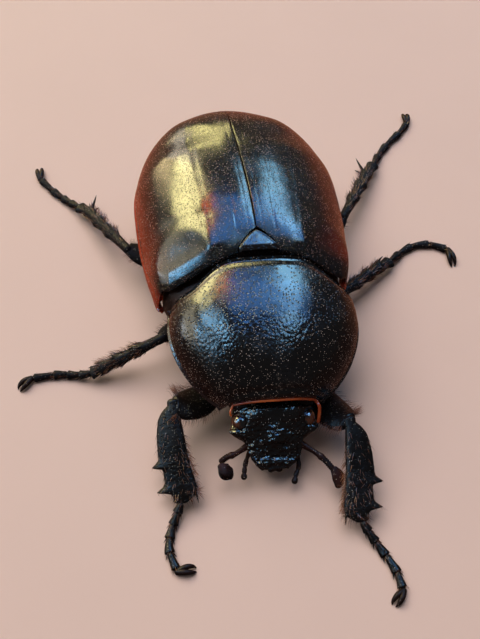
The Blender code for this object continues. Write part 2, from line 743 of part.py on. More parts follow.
def coxa(leg, grow=0.0):
    """Hip: a barrel across the body; grown, it is the cutter of its own socket."""
    inner, outer, radius = COXAE[leg.pair]
    inner, outer = mirrored(inner, leg.side), mirrored(outer, leg.side)
    along = (outer - inner).normalized() * grow
    big, small = radius + grow, radius * 0.72 + grow
    stations = [(*(inner - along), small, small), (*inner.lerp(outer, 0.5), big, big),
                (*(outer + along), small, small)]
    return limb(smooth(stations, 2), 8)


def femur(leg, grow=0.0):
    """Thigh: a flattened club that sags from the coxa's outer end and rises to the knee."""
    root = leg.hip() - UP * 0.3
    end = leg.knee
    half, high = FEMUR_SIZE[leg.pair]
    sag = UP * (0.8 if leg.pair == "front" else 0.55)
    ahead = Vector((0.0, -0.35 if leg.pair == "front" else 0.0, 0.0))
    stations = [
        (*root, half * 0.42, high * 0.7),
        (*(root.lerp(end, 0.25) - sag * 0.7), half * 0.8, high * 0.85),
        (*(root.lerp(end, 0.55) - sag + ahead), half, high),
        (*(root.lerp(end, 0.82) - sag * 0.5 + ahead), half * 0.88, high * 0.92),
        (*root.lerp(end, 0.96), half * 0.55, high * 0.7),
    ]
    grown = [(*station[:3], station[3] + grow, station[4] + grow) for station in smooth(stations, 2)]
    return limb(grown, 8)


def hip_cutter(leg):
    """Room for the coxa in the femur, in the floor's frame."""
    cutter = coxa(leg, JOINT_GAP)
    cutter.transform(leg.carrier())
    return cutter


def spines_about(root, along, outward, turns, sink, radius, rise, reach):
    """Ring of spines about a shin, each leaning towards the foot; `turns` are in degrees."""
    top = along.cross(outward)
    spines = []
    for turn in turns:
        away = outward * math.cos(math.radians(turn)) + top * math.sin(math.radians(turn))
        foot = root + away * sink
        spines.append(spike(foot, foot + away * rise + along * reach, radius, 4))
    return spines


def front_tibia(leg):
    """Digging shin: a flat blade with three outer teeth, a spread inner corner and a spur."""
    axis = leg.ankle - leg.knee
    along = axis.normalized()
    outward = (leg.outward - along * leg.outward.dot(along)).normalized()
    face = along.cross(outward)
    half, thick = TIBIA_SIZE["front"]
    profile = (  # share of the length, then outer edge, inner edge and thickness in shares of their size
        (-0.01, 0.35, 0.3, 0.85), (0.10, 0.72, 0.42, 1.0), (0.30, 1.12, 0.60, 1.05),
        (0.48, 1.16, 0.70, 1.05), (0.56, 1.14, 0.78, 1.0), (0.635, 1.72, 0.85, 0.95),
        (0.67, 0.88, 0.92, 0.95), (0.78, 0.88, 1.08, 0.9), (0.82, 0.95, 1.15, 0.9),
        (0.885, 1.45, 1.25, 0.85), (0.91, 0.60, 1.28, 0.85), (0.95, 0.58, 1.15, 0.8),
        (1.0, 0.80, 0.75, 0.6),
    )
    rings = []
    for share, outer, inner, depth in profile:
        centre = leg.knee + axis * share
        o, i, t = outward * half * outer, outward * half * inner, face * thick * depth
        rings.append([centre + o, centre + o * 0.45 + t, centre - i * 0.55 + t * 0.9, centre - i,
                      centre - i * 0.55 - t * 0.9, centre + o * 0.45 - t])
    corner = leg.knee + axis * 0.84 - outward * half * 1.0
    spur = spike(corner, corner + along * 1.6 - outward * 0.6, 0.28)
    return combine(loft(rings), [spur], "UNION")


def walking_tibia(leg):
    """Middle or hind shin: widens to a crown of spines and bears two slanting rows of them."""
    axis = leg.ankle - leg.knee
    along = axis.normalized()
    half, high = TIBIA_SIZE[leg.pair]
    shape = ((0.0, 0.7, 0.7), (0.2, 0.78, 0.78), (0.42, 0.95, 0.95), (0.47, 0.75, 0.8), (0.70, 1.05, 1.05),
             (0.75, 0.82, 0.88), (0.95, 1.25, 1.2), (1.0, 1.1, 1.0))
    shin = limb([(*(leg.knee + axis * share), half * wide, high * tall) for share, wide, tall in shape],
                8, UP, 0.3, 0.1)
    outward = (leg.outward - along * leg.outward.dot(along)).normalized()
    spines = []
    for share, turns in ((0.39, (-25, 30)), (0.67, (-30, 25)), (0.93, (-60, 0, 60))):
        spines += spines_about(leg.knee + axis * share, along, outward, turns, high * 0.6, 0.2, 0.42, 0.5)
    crown = leg.knee + axis * 0.94
    spines += spines_about(crown, along, outward, (160, 205), high * 0.6, 0.26, SPUR_RISE[leg.pair], 1.4)
    return combine(shin, spines, "UNION")


def flatten_on_floor(bm):
    """Lay every point that would sink below the floor on it."""
    for vertex in bm.verts:
        vertex.co.z = max(vertex.co.z, 0.0)
    return bm


def tarsus(leg):
    """Foot of five beaded joints, flat where it lies on the floor."""
    start = leg.ankle + (leg.foot[0] - leg.ankle).normalized() * 0.3
    route = smooth([tuple(start), *(tuple(point) for point in leg.foot)], 6)
    total = len(route) - 1
    stations = []
    for joint in range(TARSOMERES):
        spread = 0.62 if joint == 0 and leg.pair != "front" else 0.46
        for part, wide in ((0.06, 0.62), (0.9, 1.0)):
            place = (joint + part) / TARSOMERES * total
            near = int(place)
            point = Vector(route[near]).lerp(Vector(route[min(near + 1, total)]), place - near)
            stations.append((*point, spread * wide, FOOT_HALF_HEIGHT * (0.8 + 0.2 * wide)))
    return flatten_on_floor(limb(stations, 6, UP, 0.35, 0.35))


def claws(leg):
    """Pair of curved claws on the last foot joint."""
    root = leg.foot[-1]
    start = root + (root - leg.foot[-2]).normalized() * 0.42
    ahead = leg.claw - root
    ahead.z = 0.0
    across = ahead.normalized().cross(UP)
    solids = []
    for spread in (-1, 1):
        tip = leg.claw + across * spread * 0.5
        tip.z = 0.12
        middle = start.lerp(tip, 0.45) + across * spread * 0.4 + UP * 0.4
        stations = smooth([(*start, 0.3, 0.3), (*middle, 0.26, 0.26), (*tip, 0.13, 0.13)], 2)
        solids.append(flatten_on_floor(limb(stations, 5)))
    return combine(solids[0], solids[1:], "UNION")


def add_legs(beetle, trunk, prothorax):
    """Six legs: coxa, femur, tibia, tarsus and claws, each a piece of its own."""
    for leg in LEGS:
        carrier = prothorax if leg.pair == "front" else trunk
        shin = front_tibia if leg.pair == "front" else walking_tibia
        add_piece(f"coxa_{leg.label()}", coxa(leg), carrier, MAHOGANY)
        thigh = combine(femur(leg), [hip_cutter(leg)], "DIFFERENCE")
        lower_leg = combine(shin(leg), [femur(leg, JOINT_GAP)], "DIFFERENCE")
        add_piece(f"femur_{leg.label()}", thigh, beetle)
        add_piece(f"tibia_{leg.label()}", lower_leg, beetle)
        add_piece(f"tarsus_{leg.label()}", tarsus(leg), beetle)
        add_piece(f"claws_{leg.label()}", claws(leg), beetle)


# ---------------------------------------------------------------- the beetle

def sockets(pairs):
    """Coxa sockets of the named leg pairs, in the frame of the plate that carries them."""
    return [coxa(leg, JOINT_GAP) for leg in LEGS if leg.pair in pairs]


def add_trunk(trunk):
    """Wing cases, shield, hind thorax, abdomen and tail plate."""
    add_piece("elytron_right", wing_case(-1), trunk, MAHOGANY, 0.2)
    add_piece("elytron_left", wing_case(1), trunk, MAHOGANY, 0.2)
    add_piece("scutellum", scutellum(), trunk)
    add_piece("thorax", combine(thorax(), sockets(("middle", "hind")), "DIFFERENCE"), trunk, MAHOGANY, 0.4)
    add_piece("abdomen", abdomen(), trunk, MAHOGANY, 0.4)
    add_piece("pygidium", pygidium(), trunk, MAHOGANY, 0.3)


def add_prothorax(prothorax):
    """Pronotum, its underside, and the head with all that it bears."""
    add_piece("pronotum", pronotum(), prothorax, CHITIN, 0.35)
    add_piece("prosternum", combine(prosternum(), sockets(("front",)), "DIFFERENCE"), prothorax, CHITIN, 0.4)
    add_piece("head", head(), prothorax)
    add_piece("labium", labium(), prothorax, RUST, 0.5)
    for side, label in ((-1, "right"), (1, "left")):
        eye = ball(mirrored(EYE_PLACE, side), [EYE_RADIUS] * 3)
        add_piece(f"eye_{label}", eye, prothorax, AMBER, 0.1)
        add_piece(f"mandible_{label}", mandible(side), prothorax)
        add_piece(f"antenna_stalk_{label}", antenna_stalk(side), prothorax, MAHOGANY)
        add_piece(f"antenna_club_{label}", antenna_club(side), prothorax, RUST)
        add_piece(f"palp_{label}", palp(side), prothorax, MAHOGANY)


def centre_on_footprint(beetle):
    """Move the whole beetle so that the middle of its box on the floor is the origin."""
    bpy.context.view_layer.update()
    corners = [thing.matrix_world @ Vector(corner)
               for thing in bpy.context.scene.objects if thing.type == "MESH" for corner in thing.bound_box]
    beetle.location.x -= (min(c.x for c in corners) + max(c.x for c in corners)) / 2
    beetle.location.y -= (min(c.y for c in corners) + max(c.y for c in corners)) / 2


def main():
    for thing in list(bpy.data.objects):
        bpy.data.objects.remove(thing)
    beetle = add_frame("beetle", None, Matrix.Identity(4))
    trunk = add_frame("trunk", beetle, TRUNK_MATRIX)
    prothorax = add_frame("prothorax", trunk, NECK_MATRIX)
    add_trunk(trunk)
    add_prothorax(prothorax)
    add_legs(beetle, trunk, prothorax)
    centre_on_footprint(beetle)


main()
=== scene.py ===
"""Looks of a life-size rhinoceros beetle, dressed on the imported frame.

Lengths are in millimetres in the classes' fields, and MM turns them into metres as each mesh is set.
A piece is modelled in the tilted frame of the plate that carries it: the head points towards -Y, the
beetle's own left side is +X, and the floor is z = 0. `Carrier` says where each frame stands.
"""

from __future__ import annotations

import json
import logging
import math
from dataclasses import dataclass, field
from enum import Enum
from typing import Callable, Sequence

import bpy
import numpy as np
from mathutils import Matrix, Vector, noise

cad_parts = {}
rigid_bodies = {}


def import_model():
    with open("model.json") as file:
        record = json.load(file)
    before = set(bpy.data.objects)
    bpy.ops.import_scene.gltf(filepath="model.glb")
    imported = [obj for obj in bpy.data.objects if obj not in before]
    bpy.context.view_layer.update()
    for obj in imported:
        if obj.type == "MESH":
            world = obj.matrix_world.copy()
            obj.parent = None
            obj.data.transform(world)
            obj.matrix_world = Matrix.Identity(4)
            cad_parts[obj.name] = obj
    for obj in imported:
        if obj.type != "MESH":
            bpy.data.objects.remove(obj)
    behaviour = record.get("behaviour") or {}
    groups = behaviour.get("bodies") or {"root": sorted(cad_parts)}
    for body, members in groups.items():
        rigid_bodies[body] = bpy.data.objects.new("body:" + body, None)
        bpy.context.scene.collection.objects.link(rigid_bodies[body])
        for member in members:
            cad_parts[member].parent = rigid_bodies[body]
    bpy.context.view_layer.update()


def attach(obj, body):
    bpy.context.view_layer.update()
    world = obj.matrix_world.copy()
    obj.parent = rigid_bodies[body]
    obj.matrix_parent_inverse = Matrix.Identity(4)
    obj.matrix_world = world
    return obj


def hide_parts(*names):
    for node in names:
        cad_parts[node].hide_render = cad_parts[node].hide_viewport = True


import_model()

LOG = logging.getLogger("beetle")
MM = 0.001
ROOT = "root"
UP = np.array((0.0, 0.0, 1.0))
SEED = 7
COAT_MAP = "OFBake"

Points = np.ndarray
Place = tuple[float, float, float]
Colour = tuple[float, float, float, float]
Piece = bpy.types.Object
Material = bpy.types.Material
Node = bpy.types.Node
NodeTree = bpy.types.NodeTree
Socket = bpy.types.NodeSocket


# ---------------------------------------------------------------- frames and formulas

def turn_about(pivot: Sequence[float], degrees: float, axis: str) -> Matrix:
    """Turn about an axis through a point.

    Args:
        pivot: Point on the axis, in millimetres.
        degrees: Angle of the turn.
        axis: "X", "Y" or "Z".

    Returns:
        The turn as a 4x4 matrix.
    """
    there = Matrix.Translation(Vector(pivot))
    return there @ Matrix.Rotation(math.radians(degrees), 4, axis) @ there.inverted()


FLOOR_SHIFT = Matrix.Translation((-0.034, -3.162, 0.0))
TRUNK_TILT = turn_about((0.0, 10.0, 3.0), 0.6, "Z") @ turn_about((0.0, 10.0, 3.0), 3.5, "Y")
NECK_TURN = Matrix.Translation((0.35, 0.0, 0.0)) @ turn_about((0.0, 3.5, 0.0), -1.5, "Z")


class Carrier(Enum):
    """Frames that the pieces are modelled in."""

    FLOOR = "floor"
    TRUNK = "trunk"
    PROTHORAX = "prothorax"

    @property
    def matrix(self) -> Matrix:
        """Where the frame stands, in millimetres."""
        if self is Carrier.FLOOR:
            return FLOOR_SHIFT
        if self is Carrier.TRUNK:
            return FLOOR_SHIFT @ TRUNK_TILT
        return FLOOR_SHIFT @ TRUNK_TILT @ NECK_TURN


class Side(Enum):
    """The beetle's own two sides; the value is the sign of x."""

    RIGHT = -1
    LEFT = 1

    @property
    def label(self) -> str:
        """The side's name in lower case."""
        return self.name.lower()


def placed(points: Points, matrix: Matrix) -> Points:
    """Move points with a matrix.

    Args:
        points: Points, with x, y and z along the last axis.
        matrix: The 4x4 matrix.

    Returns:
        The moved points.
    """
    grid = np.array(matrix)
    return np.asarray(points, float) @ grid[:3, :3].T + grid[:3, 3]


def mirrored(point: Sequence[float], side: Side) -> np.ndarray:
    """The point on the given side, from the one on the left."""
    return np.array((point[0] * side.value, point[1], point[2]), float)


def quarter(share: Points, power: float) -> Points:
    """Height of a unit superellipse's quarter at a share of its reach."""
    return (1.0 - np.clip(np.abs(share), 0.0, 1.0) ** power) ** (1.0 / power)


def blend(share: Points) -> Points:
    """Smooth step from 0 to 1."""
    share = np.clip(share, 0.0, 1.0)
    return share * share * (3.0 - 2.0 * share)


def hump(distance: Points, reach: float) -> Points:
    """Round swelling of height 1, `reach` wide on each side."""
    return np.exp(-(distance / reach) ** 2)


def ridges(distance: Points, rows: Sequence[Place]) -> Points:
    """Sum of humps, each given by its height, its place along the distance and its width."""
    return sum(height * hump(distance - place, width) for height, place, width in rows)


def signed_power(values: Points, exponent: float) -> Points:
    """Power that keeps the sign."""
    return np.sign(values) * np.abs(values) ** exponent


def wheel(sides: int, offset: float = 0.0) -> tuple[Points, Points]:
    """Cosines and sines of equal steps round a circle."""
    angle = 2.0 * math.pi * (np.arange(sides) + offset) / sides
    return np.cos(angle), np.sin(angle)


def unit(vectors: Points) -> Points:
    """Vectors of length 1 along the last axis."""
    return vectors / np.maximum(np.linalg.norm(vectors, axis=-1, keepdims=True), 1e-12)


def spline(stations: Sequence[Sequence[float]], steps: int) -> Points:
    """Catmull-Rom curve through stations of any width.

    Args:
        stations: Rows of numbers, such as places with half widths.
        steps: Spans between neighbouring stations.

    Returns:
        One row for each point of the curve.
    """
    rows = np.asarray(stations, float)
    padded = np.vstack((rows[:1], rows, rows[-1:]))
    t = (np.arange(steps) / steps)[:, None]
    spans = []
    for before, start, end, after in zip(padded, padded[1:], padded[2:], padded[3:]):
        square = (2 * before - 5 * start + 4 * end - after) * t ** 2
        cube = (3 * start - before - 3 * end + after) * t ** 3
        spans.append(0.5 * (2 * start + (end - before) * t + square + cube))
    return np.vstack((*spans, rows[-1:]))


def grid_normals(points: Points) -> Points:
    """Unit normals of a sheet of points, from its rows and columns."""
    along = np.gradient(points, axis=0)
    across = np.gradient(points, axis=1)
    return unit(np.cross(across, along))


def ripple(points: Points, size: float) -> Points:
    """Soft random swell from -1 to 1 over a sheet, with waves about `size` millimetres long."""
    flat = points.reshape(-1, 3) / size
    return np.array([noise.noise(Vector(p)) for p in flat]).reshape(points.shape[:-1])


def swell(points: Points, rows: Sequence[Place]) -> Points:
    """Sum of ripples, each given by its height, its wave and a shift that makes it its own."""
    return sum(height * ripple(points + shift, size) for height, size, shift in rows)


def raised(points: Points, height: Points) -> Points:
    """A sheet's points, moved by a height along its upward normals."""
    normals = grid_normals(points)
    return points + normals * (np.sign(normals[..., 2:3].mean()) * height)[..., None]


def closing(ring: Points, way: Points, steps: Sequence[tuple[float, float]]) -> list[Points]:
    """Rings beyond a ring, each given by its share of the ring's size and its distance from it."""
    centre = ring.mean(0)
    return [centre + (ring - centre) * share + way * distance for share, distance in steps]


def way_to(azimuth: float, elevation: float) -> Vector:
    """Unit way from the beetle to a place at this azimuth and elevation, in degrees."""
    a, e = math.radians(azimuth), math.radians(elevation)
    return Vector((math.sin(a) * math.cos(e), -math.cos(a) * math.cos(e), math.sin(e)))


# ---------------------------------------------------------------- modelling moves

def deselect() -> None:
    """Leave nothing selected."""
    for thing in bpy.context.view_layer.objects:
        thing.select_set(False)


def pick(*pieces: Piece) -> None:
    """Select these pieces alone; the first one is active."""
    deselect()
    for piece in pieces:
        piece.select_set(True)
    bpy.context.view_layer.objects.active = pieces[0]


def christen(piece: Piece, name: str) -> Piece:
    """Give a piece and its mesh their name."""
    piece.name = name
    piece.data.name = name
    return piece


def model_sheet(name: str, rows: int, columns: int, place: Callable[[Points, Points], Points],
                carrier: Carrier) -> Piece:
    """Model a plate from a flat grid.

    Args:
        name: The piece's name.
        rows: Faces along u.
        columns: Faces along v.
        place: Gives points in millimetres for tables of u and v, both 0 to 1.
        carrier: The frame that the points are in.

    Returns:
        The open sheet.
    """
    deselect()
    bpy.ops.mesh.primitive_grid_add(x_subdivisions=columns, y_subdivisions=rows, size=1.0)
    piece = christen(bpy.context.object, name)
    u, v = np.meshgrid(np.linspace(0.0, 1.0, rows + 1), np.linspace(0.0, 1.0, columns + 1), indexing="ij")
    set_points(piece, placed(place(u, v), carrier.matrix))
    return piece


def model_tube(name: str, rings: Points, carrier: Carrier) -> Piece:
    """Model a closed tube: a disc is extruded once for each further ring.

    Args:
        name: The piece's name.
        rings: Points in millimetres, ring by ring.
        carrier: The frame that the points are in.

    Returns:
        The closed tube, with its faces outward.
    """
    deselect()
    bpy.ops.mesh.primitive_circle_add(vertices=rings.shape[1], radius=1.0, fill_type="NGON")
    piece = christen(bpy.context.object, name)
    bpy.ops.object.mode_set(mode="EDIT")
    for _ in range(len(rings) - 1):
        bpy.ops.mesh.extrude_region_move(TRANSFORM_OT_translate={"value": (0.0, 0.0, 1.0)})
    bpy.ops.object.mode_set(mode="OBJECT")
    set_points(piece, placed(rings, carrier.matrix))
    weld(piece)
    return piece


def set_points(piece: Piece, points: Points) -> None:
    """Put a piece's vertices at points given in millimetres."""
    piece.data.vertices.foreach_set("co", (points.reshape(-1) * MM).astype(np.float32))
    piece.data.update()


def points_of(piece: Piece) -> Points:
    """A piece's vertices, in millimetres."""
    flat = np.empty(len(piece.data.vertices) * 3, np.float32)
    piece.data.vertices.foreach_get("co", flat)
    return flat.reshape(-1, 3).astype(float) / MM


def weld(piece: Piece, distance: float = 0.002) -> None:
    """Merge collapsed corners and turn the faces outward.

    Args:
        piece: The piece.
        distance: Greatest gap that is merged, in millimetres.
    """
    pick(piece)
    bpy.ops.object.mode_set(mode="EDIT")
    bpy.ops.mesh.select_all(action="SELECT")
    bpy.ops.mesh.remove_doubles(threshold=distance * MM)
    bpy.ops.mesh.normals_make_consistent(inside=False)
    bpy.ops.object.mode_set(mode="OBJECT")


def apply_modifier(piece: Piece, kind: str, **settings: object) -> None:
    """Add a modifier and apply it.

    Args:
        piece: The piece.
        kind: Blender's name for the modifier's type.
        settings: The modifier's own settings.
    """
    pick(piece)
    modifier = piece.modifiers.new(kind.title(), kind)
    for key, value in settings.items():
        setattr(modifier, key, value)
    bpy.ops.object.modifier_apply(modifier=modifier.name)


def refine(piece: Piece, levels: int = 1) -> None:
    """Round a piece with a subdivision surface."""
    apply_modifier(piece, "SUBSURF", levels=levels, render_levels=levels)


def thicken(piece: Piece, thickness: float, rim: float) -> None:
    """Give an open sheet a wall on its inner side and a softened rim.

    Args:
        piece: The sheet, with its faces outward.
        thickness: The wall, in millimetres.
        rim: Width of the bevel along the rim.
    """
    apply_modifier(piece, "SOLIDIFY", thickness=thickness * MM, offset=-1.0)
    apply_modifier(piece, "BEVEL", width=rim * MM, segments=2, limit_method="ANGLE",
                   angle_limit=math.radians(60.0))


def roughen(piece: Piece, size: float, height: float, kind: str = "VORONOI", group: str = "") -> None:
    """Raise a grain on a piece by displacing it with a procedural texture.

    Args:
        piece: The piece.
        size: Size of one grain, in millimetres.
        height: Height of the grain, in millimetres.
        kind: The texture's type.
        group: Vertex group that limits it, if any.
    """
    texture = bpy.data.textures.new(f"{piece.name}_grain", kind)
    texture.noise_scale = size * MM
    apply_modifier(piece, "DISPLACE", texture=texture, texture_coords="LOCAL", mid_level=0.5,
                   strength=height * MM, vertex_group=group)


def join_pieces(name: str, pieces: Sequence[Piece]) -> Piece:
    """Join pieces into the first one."""
    pick(*pieces)
    if len(pieces) > 1:
        bpy.ops.object.join()
    return christen(bpy.context.object, name)


def note(piece: Piece, name: str, values: Points) -> None:
    """Store one number for each vertex, which a material can read."""
    attribute = piece.data.attributes.new(name, "FLOAT", "POINT")
    attribute.data.foreach_set("value", np.asarray(values, np.float32).reshape(-1))


def weigh(piece: Piece, name: str, values: Points) -> None:
    """Make a vertex group with these weights."""
    group = piece.vertex_groups.new(name=name)
    for index, value in enumerate(np.asarray(values).reshape(-1)):
        group.add([index], float(value), "REPLACE")


def hand_over(piece: Piece, slot: str, material: Material, *nodes: str, degrees: float = 50.0) -> None:
    """Shade and dress a finished piece, and make it stand for its solids.

    Args:
        piece: The finished piece.
        slot: The record's slot for its finish; not used.
        material: The material.
        nodes: Names of the solids that it stands for.
        degrees: Edges sharper than this angle stay sharp.
    """
    pick(piece)
    bpy.ops.object.shade_smooth_by_angle(angle=math.radians(degrees))
    piece.data.materials.clear()
    piece.data.materials.append(material)
    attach(piece, ROOT)
    if nodes:
        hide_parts(*nodes)
    LOG.info("%s: %d faces", piece.name, len(piece.data.polygons))


def build_tube(name: str, rings: Points, carrier: Carrier, slot: str, material: Material, *nodes: str,
               grain: tuple[float, float] | None = None) -> None:
    """Model and dress a closed tube.

    Args:
        name: The piece's name.
        rings: Points in millimetres, ring by ring.
        carrier: The frame that the points are in.
        slot: The record's slot for its finish.
        material: Its finish.
        nodes: Names of the solids that it stands for.
        grain: Size and height of a cloudy grain; without one the tube is rounded.
    """
    piece = model_tube(name, rings, carrier)
    if grain:
        roughen(piece, *grain, "CLOUDS")
    else:
        refine(piece)
    hand_over(piece, slot, material, *nodes)


def limb_rings(stations: Sequence[Sequence[float]], sides: int = 16, steps: int = 4,
               ends: tuple[float, float] = (0.5, 0.5), over: Points = UP) -> Points:
    """Rings of a limb with round ends.

    Args:
        stations: Rows of x, y, z, half width and half height along the limb.
        sides: Points in a ring.
        steps: Rings between two stations.
        ends: How far each end bulges, in half heights.
        over: The way that the half height lies.

    Returns:
        The rings' points.
    """
    curve = spline(stations, steps)
    ahead = unit(np.gradient(curve[:, :3], axis=0))
    centres, halves = [], []
    rounding = (0.96, 0.8, 0.5, 0.2)
    for t in rounding:
        centres.append(curve[0, :3] - ahead[0] * curve[0, 4] * ends[0] * t)
        halves.append(curve[0, 3:] * math.sqrt(1.0 - t * t))
    centres.extend(curve[:, :3])
    halves.extend(curve[:, 3:])
    for t in reversed(rounding):
        centres.append(curve[-1, :3] + ahead[-1] * curve[-1, 4] * ends[1] * t)
        halves.append(curve[-1, 3:] * math.sqrt(1.0 - t * t))
    count = len(rounding)
    ahead = np.vstack((np.repeat(ahead[:1], count, 0), ahead, np.repeat(ahead[-1:], count, 0)))
    aside = unit(np.cross(ahead, over))
    top = np.cross(aside, ahead)
    centres, halves = np.array(centres), np.array(halves)
    c, s = wheel(sides, 0.5)
    return (centres[:, None] + aside[:, None] * (halves[:, :1] * c)[..., None]
            + top[:, None] * (halves[:, 1:] * s)[..., None])


class Horn:
    """Spine that is modelled once and copied wherever one stands."""

    SIDES = 8
    RINGS = 7
    LEAN = 0.9

    def __init__(self) -> None:
        """Model the spine: 1 long, 1 in radius, leaning towards +X at its tip."""
        t = np.linspace(0.0, 1.0, self.RINGS)[:, None]
        c, s = wheel(self.SIDES)
        radius = 0.06 + 0.94 * (1.0 - t) ** 0.8
        rings = np.stack((self.LEAN * t ** 2 + radius * c, radius * s, np.repeat(t, self.SIDES, 1)), -1)
        self.model = model_tube("horn", rings / MM, Carrier.FLOOR)
        set_points(self.model, rings / MM)
        self.model.hide_render = True

    def copy(self, base: Points, tip: Points, radius: float, lean: Points) -> Piece:
        """A copy from base to tip.

        Args:
            base: Middle of its foot, in millimetres from the floor's origin.
            tip: Its tip.
            radius: Radius of its foot.
            lean: The way that its tip leans.

        Returns:
            The copy, with a mesh of its own.
        """
        along = Vector(tip) - Vector(base)
        ahead = along.normalized()
        bend = Vector(lean) - ahead * Vector(lean).dot(ahead)
        bend = (bend if bend.length > 1e-6 else ahead.orthogonal()).normalized()
        foot = Vector(base) - ahead * radius * 0.5
        across = ahead.cross(bend)
        columns = (bend * radius, across * radius, along + ahead * radius * 0.5, foot)
        rows = [[column[axis] * MM for column in columns] for axis in range(3)]
        piece = self.model.copy()
        piece.data = self.model.data.copy()
        piece.data.transform(Matrix((*rows, (0.0, 0.0, 0.0, 1.0))))
        piece.hide_render = False
        bpy.context.scene.collection.objects.link(piece)
        return piece

    def put_away(self) -> None:
        """Remove the model once every copy is made."""
        bpy.data.objects.remove(self.model)


# ---------------------------------------------------------------- node groups

class Board:
    """Node tree being wired."""

    def __init__(self, tree: NodeTree) -> None:
        """Start on a tree."""
        self.tree = tree

    def add(self, kind: str, **settings: object) -> Node:
        """Add a node and set its properties."""
        node = self.tree.nodes.new(kind)
        for key, value in settings.items():
            setattr(node, key, value)
        return node

    def put(self, target: Socket, value: object) -> None:
        """Wire a socket, or set its value."""
        if isinstance(value, Socket):
            self.tree.links.new(value, target)
        else:
            target.default_value = value

    def feed(self, node: Node, **values: object) -> Node:
        """Set or wire inputs by name, with _ for a space.

        Args:
            node: The node.
            values: A socket to wire, or a value to set, for each input.

        Returns:
            The same node.
        """
        for key, value in values.items():
            self.put(node.inputs[key.replace("_", " ")], value)
        return node

    def math(self, operation: str, first: object, second: object = 0.0, clamp: bool = False) -> Socket:
        """Result of a Math node on sockets or numbers."""
        node = self.add("ShaderNodeMath", operation=operation, use_clamp=clamp)
        self.put(node.inputs[0], first)
        self.put(node.inputs[1], second)
        return node.outputs[0]

    def remap(self, value: Socket, low: float, high: float,
              to: tuple[float, float] = (0.0, 1.0)) -> Socket:
        """Smooth Map Range from low..high to the given range."""
        node = self.add("ShaderNodeMapRange", interpolation_type="SMOOTHSTEP")
        self.feed(node, Value=value, From_Min=low, From_Max=high, To_Min=to[0], To_Max=to[1])
        return node.outputs["Result"]

    def mix(self, factor: object, first: object, second: object) -> Socket:
        """Mix two colours by a factor."""
        node = self.add("ShaderNodeMix", data_type="RGBA", clamp_factor=True)
        for index, value in ((0, factor), (6, first), (7, second)):
            self.put(node.inputs[index], value)
        return node.outputs[2]


def start_finish(name: str) -> tuple[Material, Board, Node, Socket]:
    """A new material with its board, its shader and its Object coordinates."""
    material = bpy.data.materials.new(name)
    material.use_nodes = True
    board = Board(material.node_tree)
    place = board.add("ShaderNodeTexCoord").outputs["Object"]
    return material, board, material.node_tree.nodes["Principled BSDF"], place


def shader_group(name: str, inputs: dict[str, tuple[str, float | None]],
                 outputs: Sequence[str]) -> tuple[NodeTree, Board, dict[str, Socket], Node]:
    """Start a shader node group.

    Args:
        name: The group's name.
        inputs: Socket type and default for each input.
        outputs: Names of the outputs, all numbers.

    Returns:
        The group, its board, its input sockets by name, and its output node.
    """
    tree = bpy.data.node_groups.new(name, "ShaderNodeTree")
    for label, (kind, default) in inputs.items():
        socket = tree.interface.new_socket(label, in_out="INPUT", socket_type=kind)
        if default is not None:
            socket.default_value = default
    for label in outputs:
        tree.interface.new_socket(label, in_out="OUTPUT", socket_type="NodeSocketFloat")
    board = Board(tree)
    given = board.add("NodeGroupInput")
    return tree, board, {label: given.outputs[label] for label in inputs}, board.add("NodeGroupOutput")


